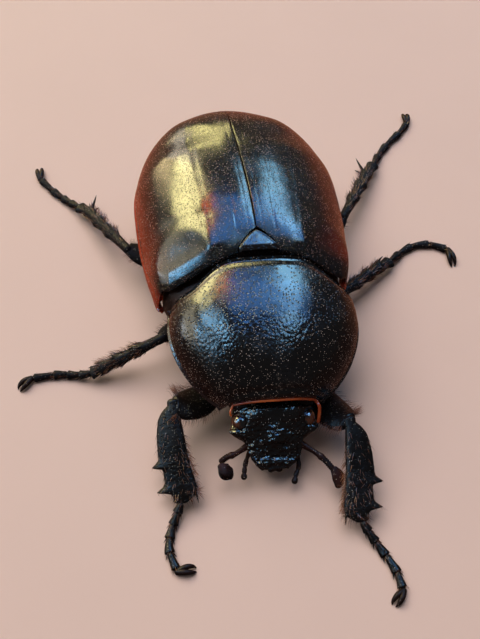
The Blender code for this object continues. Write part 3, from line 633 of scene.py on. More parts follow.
class Effects:
    """Node groups that several finishes share."""

    def __init__(self) -> None:
        """Build each group once."""
        self.pits = self.build_pits()
        self.grain = self.build_grain()
        self.drift = self.build_drift()
        self.specks = self.build_specks()

    @staticmethod
    def build_pits() -> NodeTree:
        """Punctures of the shell: height 1 on the flat and 0 in each pit."""
        tree, board, given, result = shader_group(
            "punctures",
            {"Place": ("NodeSocketVector", None), "Scale": ("NodeSocketFloat", 5000.0),
             "Radius": ("NodeSocketFloat", 0.35)},
            ("Height",),
        )
        cells = board.add("ShaderNodeTexVoronoi", feature="F1")
        board.feed(cells, Vector=given["Place"], Scale=given["Scale"], Randomness=0.85)
        inner = board.math("MULTIPLY", given["Radius"], 0.35)
        rise = board.add("ShaderNodeMapRange", interpolation_type="SMOOTHSTEP")
        board.feed(rise, Value=cells.outputs["Distance"], From_Min=inner, From_Max=given["Radius"])
        board.feed(result, Height=rise.outputs["Result"])
        return tree

    @staticmethod
    def build_grain() -> NodeTree:
        """Crowded low granules with wrinkles between them."""
        tree, board, given, result = shader_group(
            "granules",
            {"Place": ("NodeSocketVector", None), "Scale": ("NodeSocketFloat", 4000.0),
             "Wrinkle": ("NodeSocketFloat", 0.4)},
            ("Height",),
        )
        cells = board.add("ShaderNodeTexVoronoi", feature="SMOOTH_F1")
        board.feed(cells, Vector=given["Place"], Scale=given["Scale"], Smoothness=0.35)
        dome = board.math("SUBTRACT", 1.0, cells.outputs["Distance"])
        waves = board.add("ShaderNodeTexNoise")
        board.feed(waves, Vector=given["Place"], Detail=3.0, Distortion=0.6,
                   Scale=board.math("MULTIPLY", given["Scale"], 0.7))
        wrinkle = board.math("MULTIPLY", waves.outputs[0], given["Wrinkle"])
        board.feed(result, Height=board.math("ADD", dome, wrinkle))
        return tree

    @staticmethod
    def build_drift() -> NodeTree:
        """Slow change of tone over the shell, 0 to 1."""
        tree, board, given, result = shader_group(
            "tone_drift",
            {"Place": ("NodeSocketVector", None), "Scale": ("NodeSocketFloat", 300.0)},
            ("Tone",),
        )
        clouds = board.add("ShaderNodeTexNoise")
        board.feed(clouds, Vector=given["Place"], Scale=given["Scale"], Detail=4.0, Roughness=0.6)
        board.feed(result, Tone=board.remap(clouds.outputs[0], 0.32, 0.68))
        return tree

    @staticmethod
    def build_specks() -> NodeTree:
        """Small pale specks in some of the punctures, 0 to 1: partly dust and wear, partly painted glints of
        light.
        """
        tree, board, given, result = shader_group(
            "dust",
            {"Place": ("NodeSocketVector", None), "Scale": ("NodeSocketFloat", 5200.0),
             "Amount": ("NodeSocketFloat", 0.5)},
            ("Speck",),
        )
        cells = board.add("ShaderNodeTexVoronoi", feature="F1")
        board.feed(cells, Vector=given["Place"], Scale=given["Scale"])
        draw = board.add("ShaderNodeSeparateColor")
        board.put(draw.inputs[0], cells.outputs["Color"])
        patches = board.add("ShaderNodeTexNoise")
        board.feed(patches, Vector=given["Place"], Scale=520.0, Detail=3.0)
        patchy = board.remap(patches.outputs[0], 0.3, 0.65, (0.3, 1.0))
        share = board.math("MULTIPLY", patchy, given["Amount"])
        chosen = board.math("LESS_THAN", draw.outputs[0], share)
        size = board.math("MULTIPLY", draw.outputs[1], 0.17)
        inside = board.math("LESS_THAN", board.math("SUBTRACT", cells.outputs["Distance"], size), 0.13)
        board.feed(result, Speck=board.math("MULTIPLY", chosen, inside))
        return tree


# ---------------------------------------------------------------- finishes

class Relief(Enum):
    """Kinds of fine relief on chitin."""

    PITTED = "pitted"
    GRANULAR = "granular"


@dataclass(frozen=True)
class Chitin:
    """Finish of a shell plate: tone, gloss and relief."""

    name: str
    dark: Colour
    light: Colour
    relief: Relief = Relief.PITTED
    scale: float = 5200.0
    relief_height: float = 0.012
    shagreen: float = 0.004
    roughness: tuple[float, float] = (0.16, 0.3)
    ior: float = 1.62
    specular: float = 0.5
    shagreen_scale: float = 2.6
    grain_scale: float = 0.85
    drift: float = 0.35
    drift_scale: float = 260.0
    # The pale specks are partly dust and partly painted glints of light in the pits; on the flank they grow
    # denser.
    dust: float = 0.15
    dust_scale: float = 5200.0
    dust_colour: Colour = (0.30, 0.22, 0.18, 1.0)
    dust_roughness: float = 0.3
    flank_dust: float = 0.4
    light_mask: str = ""
    grain_mask: str = ""

    def make(self, effects: Effects) -> Material:
        """Wire the material.

        Args:
            effects: The shared node groups.

        Returns:
            The material.
        """
        material, board, shader, place = start_finish(self.name)
        tone = self.effect(board, effects.drift, place, Scale=self.drift_scale).outputs["Tone"]
        # Pale specks: partly dust, partly painted glints.
        specks = self.effect(board, effects.specks, place, Scale=self.dust_scale, Amount=self.dust)
        speck = specks.outputs["Speck"]
        share = board.math("MULTIPLY", tone, self.drift)
        # The flank mask lifts the tone to the light colour towards the bottom of the sides: partly the
        # shell's own mahogany, partly painted reflection of the warm floor, with denser pale specks there.
        if self.light_mask:
            mask = board.add("ShaderNodeAttribute", attribute_name=self.light_mask).outputs["Fac"]
            share = board.math("ADD", mask, board.math("MULTIPLY", share, mask), clamp=True)
            extra = board.math("MULTIPLY", mask, self.flank_dust)
            board.feed(specks, Amount=board.math("ADD", extra, self.dust))
        colour = board.mix(share, self.dark, self.light)
        height = self.relief_socket(board, effects, place)
        colour = board.mix(speck, colour, self.dust_colour)
        board.feed(shader, Base_Color=colour)
        rough = board.remap(tone, 0.0, 1.0, self.roughness)
        speck_roughness = board.math("MULTIPLY", speck, self.dust_roughness)
        board.feed(shader, Roughness=board.math("ADD", rough, speck_roughness))
        board.feed(shader, IOR=self.ior, Specular_IOR_Level=self.specular)
        fine = board.add("ShaderNodeTexNoise")
        board.feed(fine, Vector=place, Scale=self.scale * self.shagreen_scale, Detail=2.0)
        skin = board.add("ShaderNodeBump")
        board.feed(skin, Height=fine.outputs[0], Strength=1.0, Distance=self.shagreen * MM)
        relief = board.add("ShaderNodeBump")
        board.feed(relief, Height=height, Strength=1.0, Distance=self.relief_height * MM,
                   Normal=skin.outputs["Normal"])
        board.feed(shader, Normal=relief.outputs["Normal"])
        return material

    @staticmethod
    def effect(board: Board, tree: NodeTree, place: Socket, **values: float) -> Node:
        """Place a shared group with its own values."""
        node = board.add("ShaderNodeGroup", node_tree=tree)
        return board.feed(node, Place=place, **values)

    def relief_socket(self, board: Board, effects: Effects, place: Socket) -> Socket:
        """Height of the fine relief: pits, or pits that pass into granules where the grain mask is 1."""
        pits = self.effect(board, effects.pits, place, Scale=self.scale).outputs["Height"]
        if self.relief is Relief.PITTED:
            return pits
        coarse = self.scale * self.grain_scale
        grain = self.effect(board, effects.grain, place, Scale=coarse).outputs["Height"]
        if not self.grain_mask:
            return grain
        mask = board.add("ShaderNodeAttribute", attribute_name=self.grain_mask).outputs["Fac"]
        pitted = board.math("MULTIPLY", pits, board.math("SUBTRACT", 1.0, mask))
        return board.math("ADD", board.math("MULTIPLY", grain, mask), pitted)


@dataclass(frozen=True)
class Bristle:
    """Finish of the hairs, darker at their roots."""

    name: str = "rusty_bristle"
    root: Colour = (0.06, 0.018, 0.008, 1.0)
    tip: Colour = (0.42, 0.13, 0.035, 1.0)
    roughness: float = 0.42

    def make(self) -> Material:
        """Wire the material."""
        material, board, shader, place = start_finish(self.name)
        along = board.add("ShaderNodeAttribute", attribute_name="along").outputs["Fac"]
        clouds = board.add("ShaderNodeTexNoise")
        board.feed(clouds, Vector=place, Scale=1900.0, Detail=1.0)
        share = board.math("MULTIPLY", along, board.remap(clouds.outputs[0], 0.3, 0.65, (0.45, 1.0)))
        board.feed(shader, Base_Color=board.mix(share, self.root, self.tip))
        board.feed(shader, Roughness=self.roughness, IOR=1.55, Sheen_Weight=0.25)
        return material


@dataclass(frozen=True)
class FacetedEye:
    """Finish of a compound eye: amber under a clear facetted cornea."""

    name: str = "compound_eye"
    dark: Colour = (0.006, 0.004, 0.003, 1.0)
    amber: Colour = (0.085, 0.024, 0.008, 1.0)

    def make(self) -> Material:
        """Wire the material."""
        material, board, shader, place = start_finish(self.name)
        facets = board.add("ShaderNodeTexVoronoi", feature="F1")
        board.feed(facets, Vector=place, Scale=16000.0, Randomness=0.15)
        clouds = board.add("ShaderNodeTexNoise")
        board.feed(clouds, Vector=place, Scale=900.0, Detail=2.0)
        tone = board.remap(clouds.outputs[0], 0.46, 0.62)
        board.feed(shader, Base_Color=board.mix(tone, self.dark, self.amber))
        dome = board.add("ShaderNodeBump")
        board.feed(dome, Height=board.math("SUBTRACT", 1.0, facets.outputs["Distance"]), Strength=1.0,
                   Distance=0.006 * MM)
        board.feed(shader, Normal=dome.outputs["Normal"])
        board.feed(shader, Roughness=board.remap(tone, 0.0, 1.0, (0.08, 0.2)))
        board.feed(shader, IOR=1.6, Coat_Weight=0.8, Coat_Roughness=0.03)
        return material


class Wardrobe:
    """Every finish of the beetle, made once."""

    def __init__(self) -> None:
        """Make the shared effects and the materials."""
        effects = Effects()
        black = (0.0045, 0.0035, 0.0035)
        limb = {"scale": 3200.0, "relief_height": 0.06, "shagreen": 0.01, "dust_scale": 5600.0}
        small = {"scale": 5000.0, "relief_height": 0.03, "roughness": (0.35, 0.5), "specular": 0.08,
                 "dust": 0.3}

        def shell(name: str, dark: Place, light: Place, **rest: object) -> Material:
            """Material of a shell from its dark and light tones and whatever else is its own."""
            return Chitin(name, (*dark, 1.0), (*light, 1.0), **rest).make(effects)

        # The light tone of wing cases and pronotum goes on the lower sides: partly shell colour, partly
        # painted floor reflection.
        self.wing_case = shell(
            "wing_case_shell", black, (0.42, 0.046, 0.014), scale=5600.0, relief_height=0.05,
            roughness=(0.16, 0.25), ior=1.55, drift=0.5, dust=0.55, dust_scale=7600.0,
            dust_colour=(0.60, 0.36, 0.29, 1.0), light_mask="flank")
        self.pronotum = shell(
            "pronotum_shell", black, (0.035, 0.012, 0.008), relief=Relief.GRANULAR, scale=3300.0,
            relief_height=0.045, roughness=(0.16, 0.28), ior=1.55, dust=0.55, dust_scale=7000.0,
            dust_colour=(0.54, 0.44, 0.38, 1.0), light_mask="flank", grain_mask="grain")
        self.scutellum = shell("scutellum_shell", black, (0.03, 0.012, 0.008), scale=4200.0,
                               relief_height=0.03, ior=1.6, drift=0.2)
        self.head = shell(
            "head_shell", (0.004, 0.0035, 0.004), (0.012, 0.009, 0.008), relief=Relief.GRANULAR,
            scale=3500.0, relief_height=0.06, roughness=(0.14, 0.28), ior=1.55, dust=0.4,
            dust_colour=(0.26, 0.26, 0.26, 1.0))
        self.leg = shell("leg_shell", (0.0045, 0.0035, 0.003), (0.014, 0.008, 0.006), roughness=(0.3, 0.45),
                         specular=0.12, dust=0.3, dust_colour=(0.26, 0.25, 0.23, 1.0), **limb)
        # The walking legs' greyer, faintly bluish tones and denser pale specks are partly painted sheen,
        # standing in for the highlights that their low specular takes away.
        self.walking_leg = shell(
            "walking_leg_shell", (0.006, 0.0055, 0.007), (0.022, 0.018, 0.02), roughness=(0.4, 0.55),
            specular=0.05, dust=0.45, dust_colour=(0.30, 0.28, 0.26, 1.0), **limb)
        self.underside = shell("underside_shell", (0.010, 0.005, 0.004), (0.045, 0.015, 0.008), scale=3600.0,
                               relief_height=0.03, shagreen=0.008, roughness=(0.34, 0.5), specular=0.12,
                               drift=0.8, dust=0.3)
        self.mouth = shell("mouth_shell", (0.006, 0.004, 0.0035), (0.03, 0.011, 0.008), drift=0.7,
                           **small)
        self.antenna = shell("antenna_shell", (0.006, 0.0035, 0.003), (0.05, 0.013, 0.008), drift=0.8,
                             **small)
        self.claw = shell("claw_horn", (0.005, 0.0035, 0.003), (0.03, 0.011, 0.007), scale=5000.0,
                          relief_height=0.004, roughness=(0.35, 0.5), specular=0.08, drift=0.6, dust=0.1)
        self.membrane = shell("neck_membrane", (0.28, 0.035, 0.008), (0.80, 0.18, 0.03), scale=2800.0,
                              relief_height=0.02, roughness=(0.3, 0.45), ior=1.45, drift=0.9, dust=0.1)
        self.eye = FacetedEye().make()
        self.bristle = Bristle().make()


# ---------------------------------------------------------------- hairs

@dataclass(frozen=True)
class Tuft:
    """Hairs on part of a limb.

    `shares` bound the part along the limb and `turns` round it, in whole turns. A hair that stands 0 lies
    flat and 1 is upright, and `droop` turns its tip back to the surface.
    """

    shares: tuple[float, float]
    turns: tuple[float, float]
    count: int
    length: float
    radius: float = 0.022
    standing: float = 0.5
    droop: float = 0.3


class Coat:
    """Hairs of one region, modelled from a single hair that is copied to every root."""

    TILES = 8
    SIDES = 3
    STEPS = (0.0, 0.35, 0.7, 1.0)
    RINGS = len(STEPS)
    STRAY = 0.22
    STRAY_LIE = 0.28
    LENGTHS = (0.6, 1.15)
    CURL = 0.35
    SUNK = 0.06
    TAPER = 0.88
    PATCH = 0.003
    MARGIN = 0.05

    def __init__(self, name: str, seed: int) -> None:
        """Start an empty coat.

        Args:
            name: The piece's name.
            seed: Seed of its random draws.
        """
        self.name = name
        self.random = np.random.default_rng(seed)
        self.vertices: list[Points] = []
        self.patches: list[Points] = []
        self.along: list[Points] = []

    @staticmethod
    def spot(rings: Points, share: Points, turn: Points) -> tuple[Points, Points, Points]:
        """Places on a limb.

        Args:
            rings: The limb's rings, in the floor's frame.
            share: Shares of its length.
            turn: Turns round it.

        Returns:
            The points, their normals and the limb's way there.
        """
        row, column = share * (len(rings) - 1), (turn % 1.0) * rings.shape[1]
        low, left = np.minimum(row.astype(int), len(rings) - 2), column.astype(int) % rings.shape[1]
        right = (left + 1) % rings.shape[1]
        f, g = (row - low)[:, None], (column - np.floor(column))[:, None]
        near = rings[low, left] * (1 - g) + rings[low, right] * g
        far = rings[low + 1, left] * (1 - g) + rings[low + 1, right] * g
        point = near * (1 - f) + far * f
        centre = rings.mean(1)
        ahead = unit(centre[low + 1] - centre[low])
        away = point - centre[low] * (1 - f) - centre[low + 1] * f
        normal = unit(away - ahead * np.sum(away * ahead, -1, keepdims=True))
        return placed(point, FLOOR_SHIFT), normal, ahead

    def grow(self, rings: Points, tuft: Tuft, tile: tuple[int, int]) -> None:
        """Add a tuft's hairs.

        Args:
            rings: The limb's rings, in the floor's frame.
            tuft: Where the hairs stand and how they lie.
            tile: Their tile of the coat's map.
        """
        count, draw = tuft.count, self.random.uniform
        share, turn = draw(*tuft.shares, count), draw(*tuft.turns, count)
        root, normal, lie = self.spot(rings, share, turn)
        normal = unit(normal + draw(-self.STRAY, self.STRAY, (count, 3)))
        lie = unit(lie + draw(-self.STRAY_LIE, self.STRAY_LIE, (count, 3)))
        lie = unit(lie - normal * np.sum(lie * normal, -1, keepdims=True))
        length = tuft.length * draw(*self.LENGTHS, (count, 1, 1))
        t = np.array(self.STEPS)[None, :, None]
        ahead = unit(normal * tuft.standing + lie * (1.0 - tuft.standing))
        bent = lie - normal * tuft.droop
        spine = root[:, None] + ahead[:, None] * (t * length)
        spine += bent[:, None] * (self.CURL * t ** 2 * length) - ahead[:, None] * self.SUNK * (1.0 - t)
        across = unit(np.cross(ahead, bent))
        c, s = wheel(self.SIDES)
        spokes = across[:, None, None] * c[:, None] + np.cross(across, ahead)[:, None, None] * s[:, None]
        body = spine[:, :, None] + spokes * (tuft.radius * (1.0 - self.TAPER * t[..., None] ** 1.5))
        self.vertices.append(body.reshape(count, -1, 3))
        inside = self.MARGIN + (1.0 - 2.0 * self.MARGIN) * np.stack((share, turn % 1.0), -1)
        patch = np.stack(np.meshgrid(self.STEPS, np.arange(self.SIDES) / self.SIDES, indexing="ij"), -1)
        patch = self.PATCH * (patch.reshape(1, -1, 2) - 0.5)
        self.patches.append(((np.array(tile) + inside) / self.TILES)[:, None] + patch)
        self.along.append(np.repeat(np.tile(self.STEPS, (count, 1)), self.SIDES, 1))

    def build(self, material: Material, slot: str) -> None:
        """Join the hairs into one mesh.

        Args:
            material: The hairs' material.
            slot: The record's slot.
        """
        vertices = np.concatenate(self.vertices)
        count, size = vertices.shape[:2]
        sides, single = self.SIDES, []
        for low in range(0, (self.RINGS - 1) * sides, sides):
            high = low + sides
            for k in range(sides):
                n = (k + 1) % sides
                single.append((low + k, low + n, high + n, high + k))
        single += [tuple(reversed(range(sides))), tuple(range(size - sides, size))]
        starts = range(0, count * size, size)
        faces = [tuple(start + index for index in face) for start in starts for face in single]
        mesh = bpy.data.meshes.new(self.name)
        mesh.from_pydata(vertices.reshape(-1, 3) * MM, [], faces)
        piece = bpy.data.objects.new(self.name, mesh)
        bpy.context.scene.collection.objects.link(piece)
        patches = np.concatenate(self.patches).reshape(-1, 2)
        chart = mesh.uv_layers.new(name=COAT_MAP)
        corners = np.empty(len(mesh.loops), np.int32)
        mesh.loops.foreach_get("vertex_index", corners)
        chart.data.foreach_set("uv", patches[corners].astype(np.float32).reshape(-1))
        note(piece, "along", np.concatenate(self.along))
        weld(piece, 0.0001)
        hand_over(piece, slot, material, degrees=80.0)


# ---------------------------------------------------------------- wing cases

@dataclass
class WingCases:
    """The two wing cases: domed shells that meet along the suture."""

    front: float = 4.5
    widest: float = 16.2
    rear: float = 29.3
    half_base: float = 10.5
    half_width: float = 11.8
    crown: float = 12.5
    top_base: float = 14.1
    top: float = 15.3
    edge: float = 5.7
    edge_lift: float = 0.9
    lip: float = 0.9
    brow: float = 1.6
    brow_drop: float = 0.3
    facet: float = 1.35
    facet_slope: float = 0.42
    rim_drop: float = 0.45
    rim_reach: float = 0.45
    shoulder: float = 0.9
    roof_slope: float = 0.74
    curl_drop: float = 0.6
    curl_in: float = 0.35
    half_gap: float = 0.05
    wall: float = 0.5
    edge_turn: float = 0.86
    bulge: tuple[float, float, float, float] = (5.4, 24.2, 2.6, 0.45)
    valley: dict[Side, float] = field(default_factory=lambda: {Side.RIGHT: 0.2, Side.LEFT: 0.03})
    # Where the lighter mahogany of the lower sides starts and how strong it is, for each side: partly shell
    # colour, partly painted floor reflection; the two sides differ as painted light, after how the light
    # fell.
    flank_start: dict[Side, float] = field(default_factory=lambda: {Side.RIGHT: 0.2, Side.LEFT: -0.02})
    flank_tone: dict[Side, float] = field(default_factory=lambda: {Side.RIGHT: 0.8, Side.LEFT: 0.6})
    rear_ridge: float = 0.08
    suture_lean: float = 0.42
    striae: tuple[tuple[float, float], ...] = ((2.15, 0.035), (3.0, 0.022), (4.9, 0.03), (5.8, 0.02))
    edge_beads: tuple[Place, ...] = (
        (0.17, 0.945, 0.016), (-0.10, 0.905, 0.014), (0.12, 0.848, 0.009), (-0.09, 0.826, 0.01))
    swells: tuple[Place, ...] = ((0.035, 3.4, 0.0), (0.012, 1.1, 40.0))
    grid: tuple[int, int] = (230, 118)

    def half_at(self, y: Points) -> Points:
        """Half width of the closed wing cases."""
        back = np.clip((self.widest - y) / (self.widest - self.front), 0.0, 1.0)
        ahead = self.half_width - (self.half_width - self.half_base) * back ** 2.4
        share = np.clip(y - self.widest, 0.0, None) / (self.rear - self.widest)
        return np.where(y < self.widest, ahead, self.half_width * quarter(share, 2.2))

    def edge_at(self, y: Points) -> Points:
        """Height of their widest line."""
        return self.edge + self.edge_lift * blend((y - 19.0) / (self.rear - 19.0))

    def top_at(self, y: Points) -> Points:
        """Height of their ridge."""
        back = np.clip((self.crown - y) / (self.crown - self.front), 0.0, 1.0)
        ahead = self.top - (self.top - self.top_base) * back ** 2
        share = np.clip(y - self.crown, 0.0, None) / (self.rear - self.crown)
        edge = self.edge_at(y)
        return np.where(y < self.crown, ahead, edge + (self.top - edge) * quarter(share, 2.4))

    def base_line(self, x: Points) -> Points:
        """How far behind `front` the base starts at a distance from the suture."""
        return np.interp(x, (0.0, 2.2, 5.0, 7.5, 9.3, 10.4), (0.5, 0.3, -0.5, -0.85, -0.9, 0.0))

    def roof(self, x: Points) -> Points:
        """How far the base's shoulder falls away to a straight slope."""
        fall = 0.05 * x + self.roof_slope * np.clip(x - 4.9, 0.0, None)
        return fall * blend((x - 3.6) / 1.6)

    def station(self, u: Points) -> Points:
        """Distance along Y of row u, closer together at both ends."""
        part = 0.12
        t = np.clip((u - part) / (1.0 - part), 0.0, 1.0)
        rest = self.front + self.lip + (self.rear - self.front - self.lip) * np.sin(t * math.pi / 2) ** 0.95
        return np.where(u < part, self.front + self.lip * (u / part) ** 1.6, rest)

    def skin(self, u: Points, turn: Points, valley: float) -> tuple[Points, Points]:
        """Smooth outer surface of the left wing case.

        Args:
            u: 0 at the base to 1 at the apex.
            turn: 0 at the suture to 1 at the tucked edge.
            valley: Depth of the hollow along the suture.

        Returns:
            The points, and the distance from the suture along X.
        """
        y = self.station(u)
        brow = np.clip((self.front + self.brow - y) / self.brow, 0.0, 1.0)
        rim = np.clip((self.front + self.rim_reach - y) / self.rim_reach, 0.0, 1.0)
        drop = self.rim_drop * (1.0 - np.sqrt(1.0 - rim ** 2))
        roundness = 2.0 / (2.2 + self.shoulder * (1.0 - blend((y - self.front) / 5.5)))
        half = np.clip(self.half_at(y) - 0.55 * drop, 0.0, None)
        edge, top = self.edge_at(y), self.top_at(y) - drop
        angle = np.clip(turn / self.edge_turn, 0.0, 1.0) * math.pi / 2
        tuck = np.clip((turn - self.edge_turn) / (1.0 - self.edge_turn), 0.0, 1.0)
        tuck *= np.minimum(half / 4.0, 1.0)
        x = half * np.sin(angle) ** roundness - self.curl_in * tuck ** 2
        z = edge + (top - edge) * np.cos(angle).clip(0.0) ** roundness - self.curl_drop * tuck
        over = (z + self.roof(x) - top) / 0.15
        z = z - 0.15 * blend((9.6 - y) / 3.5) * np.logaddexp(0.0, over)
        outer = blend((x - 3.2) / 1.4)
        facet = 0.1 * np.logaddexp(0.0, (self.front + self.facet - y) / 0.1)
        z -= self.brow_drop * brow ** 2 * (1.0 - outer) + self.facet_slope * facet * outer
        bulge_x, bulge_y, reach, height = self.bulge
        z += height * np.exp(-((x - bulge_x) ** 2 + (y - bulge_y) ** 2) / reach ** 2)
        z -= valley * np.exp(-x / 1.3) * blend((y - 6.5) / 4.0) * (1.0 - blend((y - 19.0) / 4.5))
        z -= self.rear_ridge * np.minimum(x, 4.5) * blend((y - 18.5) / 3.5)
        aside = x.copy()
        x = self.half_gap + x * (1.0 - self.half_gap / self.half_width)
        y = y + self.base_line(x) * (1.0 - blend((y - self.front) / 5.0))
        return np.stack((x, y, z), -1), aside

    def relief(self, points: Points, x: Points, turn: Points, u: Points) -> Points:
        """Height of the ridges and grooves on the skin."""
        y = points[..., 1]
        fade = blend((y - 6.4) / 2.0) * (1.0 - blend((y - 27.2) / 1.6))
        height = -0.02 * hump(x, 0.08) * (1.0 - blend((7.4 - y) / 1.0))
        height -= 0.008 * hump(x - 0.7, 0.14) * fade
        for line, depth in self.striae:
            place = line * (0.92 + 0.1 * blend((y - 6.0) / 10.0) - 0.25 * blend((y - 21.0) / 8.0))
            height -= depth * hump(x - place, 0.11) * fade * (1.0 - blend((y - 24.0) / 3.0))
        height += (1.0 - blend((u - 0.985) / 0.015)) * ridges(turn, self.edge_beads)
        return height + swell(points, self.swells)

    def build(self, side: Side, material: Material) -> None:
        """Model and dress one wing case.

        Args:
            side: Which of the two.
            material: Its finish.
        """
        flank: list[Points] = []

        def place(u: Points, v: Points) -> Points:
            turn = np.interp(v, (0.0, 0.26, 0.74, 1.0), (0.0, 0.08, 0.84, 1.0))
            points, x = self.skin(u, turn, self.valley[side])
            # Lighter towards the bottom of the sides: partly the shell's mahogany, partly painted reflection
            # of the floor.
            low = 1.0 - (points[..., 2] - 5.0) / 9.0
            tail = blend((points[..., 1] - 24.5) / 5.0)
            tone = blend((low - self.flank_start[side]) / 0.7) * (1.0 - 0.45 * tail) + 0.12 * tail
            off_base = np.maximum(blend((points[..., 1] - 4.6) / 2.2), blend((turn - 0.7) / 0.1))
            flank.append(np.clip(tone, 0.0, 1.0) * off_base)
            points = raised(points, self.relief(points, x, turn, u) * blend(np.minimum(u, 1.0 - u) / 0.01))
            y = points[..., 1]
            inner = 1.0 - np.clip(x / np.maximum(self.half_at(y), 0.5), 0.0, 1.0) ** 2
            lean = self.suture_lean * blend((y - 9.0) / 14.0) * inner
            points[..., 0] = points[..., 0] * side.value - lean
            return points

        piece = model_sheet(f"wing_case_{side.label}", *self.grid, place, Carrier.TRUNK)
        note(piece, "flank", flank[0] * self.flank_tone[side])
        weld(piece)
        self.face_out(piece)
        self.cut_shield_room(piece)
        thicken(piece, self.wall, 0.07)
        hand_over(piece, "wing_case", material, f"elytron_{side.label}")

    @staticmethod
    def face_out(piece: Piece) -> None:
        """Turn an open shell's faces up if they point into the body."""
        mesh = piece.data
        lean = sum(polygon.normal.z * polygon.area for polygon in mesh.polygons)
        if lean < 0.0:
            mesh.flip_normals()

    @staticmethod
    def cut_shield_room(piece: Piece) -> None:
        """Delete the faces that the scutellum's room takes."""
        pick(piece)
        inverse = np.array((FLOOR_SHIFT @ TRUNK_TILT).inverted())
        centres = np.empty(len(piece.data.polygons) * 3, np.float32)
        piece.data.polygons.foreach_get("center", centres)
        local = placed(centres.reshape(-1, 3) / MM, Matrix(inverse))
        inside = Scutellum().covers(local[:, 0], local[:, 1], 0.1)
        bpy.ops.object.mode_set(mode="EDIT")
        bpy.ops.mesh.select_all(action="DESELECT")
        bpy.ops.mesh.select_mode(type="FACE")
        bpy.ops.object.mode_set(mode="OBJECT")
        piece.data.polygons.foreach_set("select", inside)
        bpy.ops.object.mode_set(mode="EDIT")
        bpy.ops.mesh.delete(type="FACE")
        bpy.ops.mesh.select_mode(type="VERT")
        bpy.ops.object.mode_set(mode="OBJECT")


@dataclass
class Scutellum:
    """Shield-shaped plate between the bases of the wing cases."""

    half: float = 2.05
    front: float = 4.75
    rear: float = 7.1
    thickness: float = 0.9

    def reach(self, x: Points) -> Points:
        """How far back the shield reaches at x."""
        share = np.clip(np.abs(x) / self.half, 0.0, 1.0)
        return self.rear - (self.rear - self.front - 0.35) * share ** 1.39

    def covers(self, x: Points, y: Points, gap: float) -> Points:
        """True where the shield and a gap round it lie."""
        return (np.abs(x) < self.half + gap) & (y < self.reach(np.abs(x) - gap) + gap)

    def build(self, cases: WingCases, material: Material) -> None:
        """Model and dress the shield.

        Args:
            cases: The wing cases, whose height it takes.
            material: Its finish.
        """
        def place(u: Points, v: Points) -> Points:
            x = (2.0 * v - 1.0) * self.half
            rear = self.reach(x)
            y = self.front + (rear - self.front) * u
            z = cases.top_at(y) - 0.45 * blend((self.front + 0.5 - y) / 0.8) - 0.03 * x * x + 0.05
            z += 0.16 * (self.rear - y) - 0.12
            rim = np.minimum((rear - y) / 0.3, (self.half - np.abs(x)) / 0.3)
            z -= 0.18 * (1.0 - blend(rim)) - 0.04 * hump(rim - 1.0, 0.5)
            return np.stack((x, y, z + 0.02 * ripple(np.stack((x, y, z), -1), 0.7)), -1)

        piece = model_sheet("scutellum_shield", 60, 70, place, Carrier.TRUNK)
        weld(piece)
        WingCases.face_out(piece)
        thicken(piece, self.thickness, 0.06)
        hand_over(piece, "wing_case", material, "scutellum")


# ---------------------------------------------------------------- prothorax

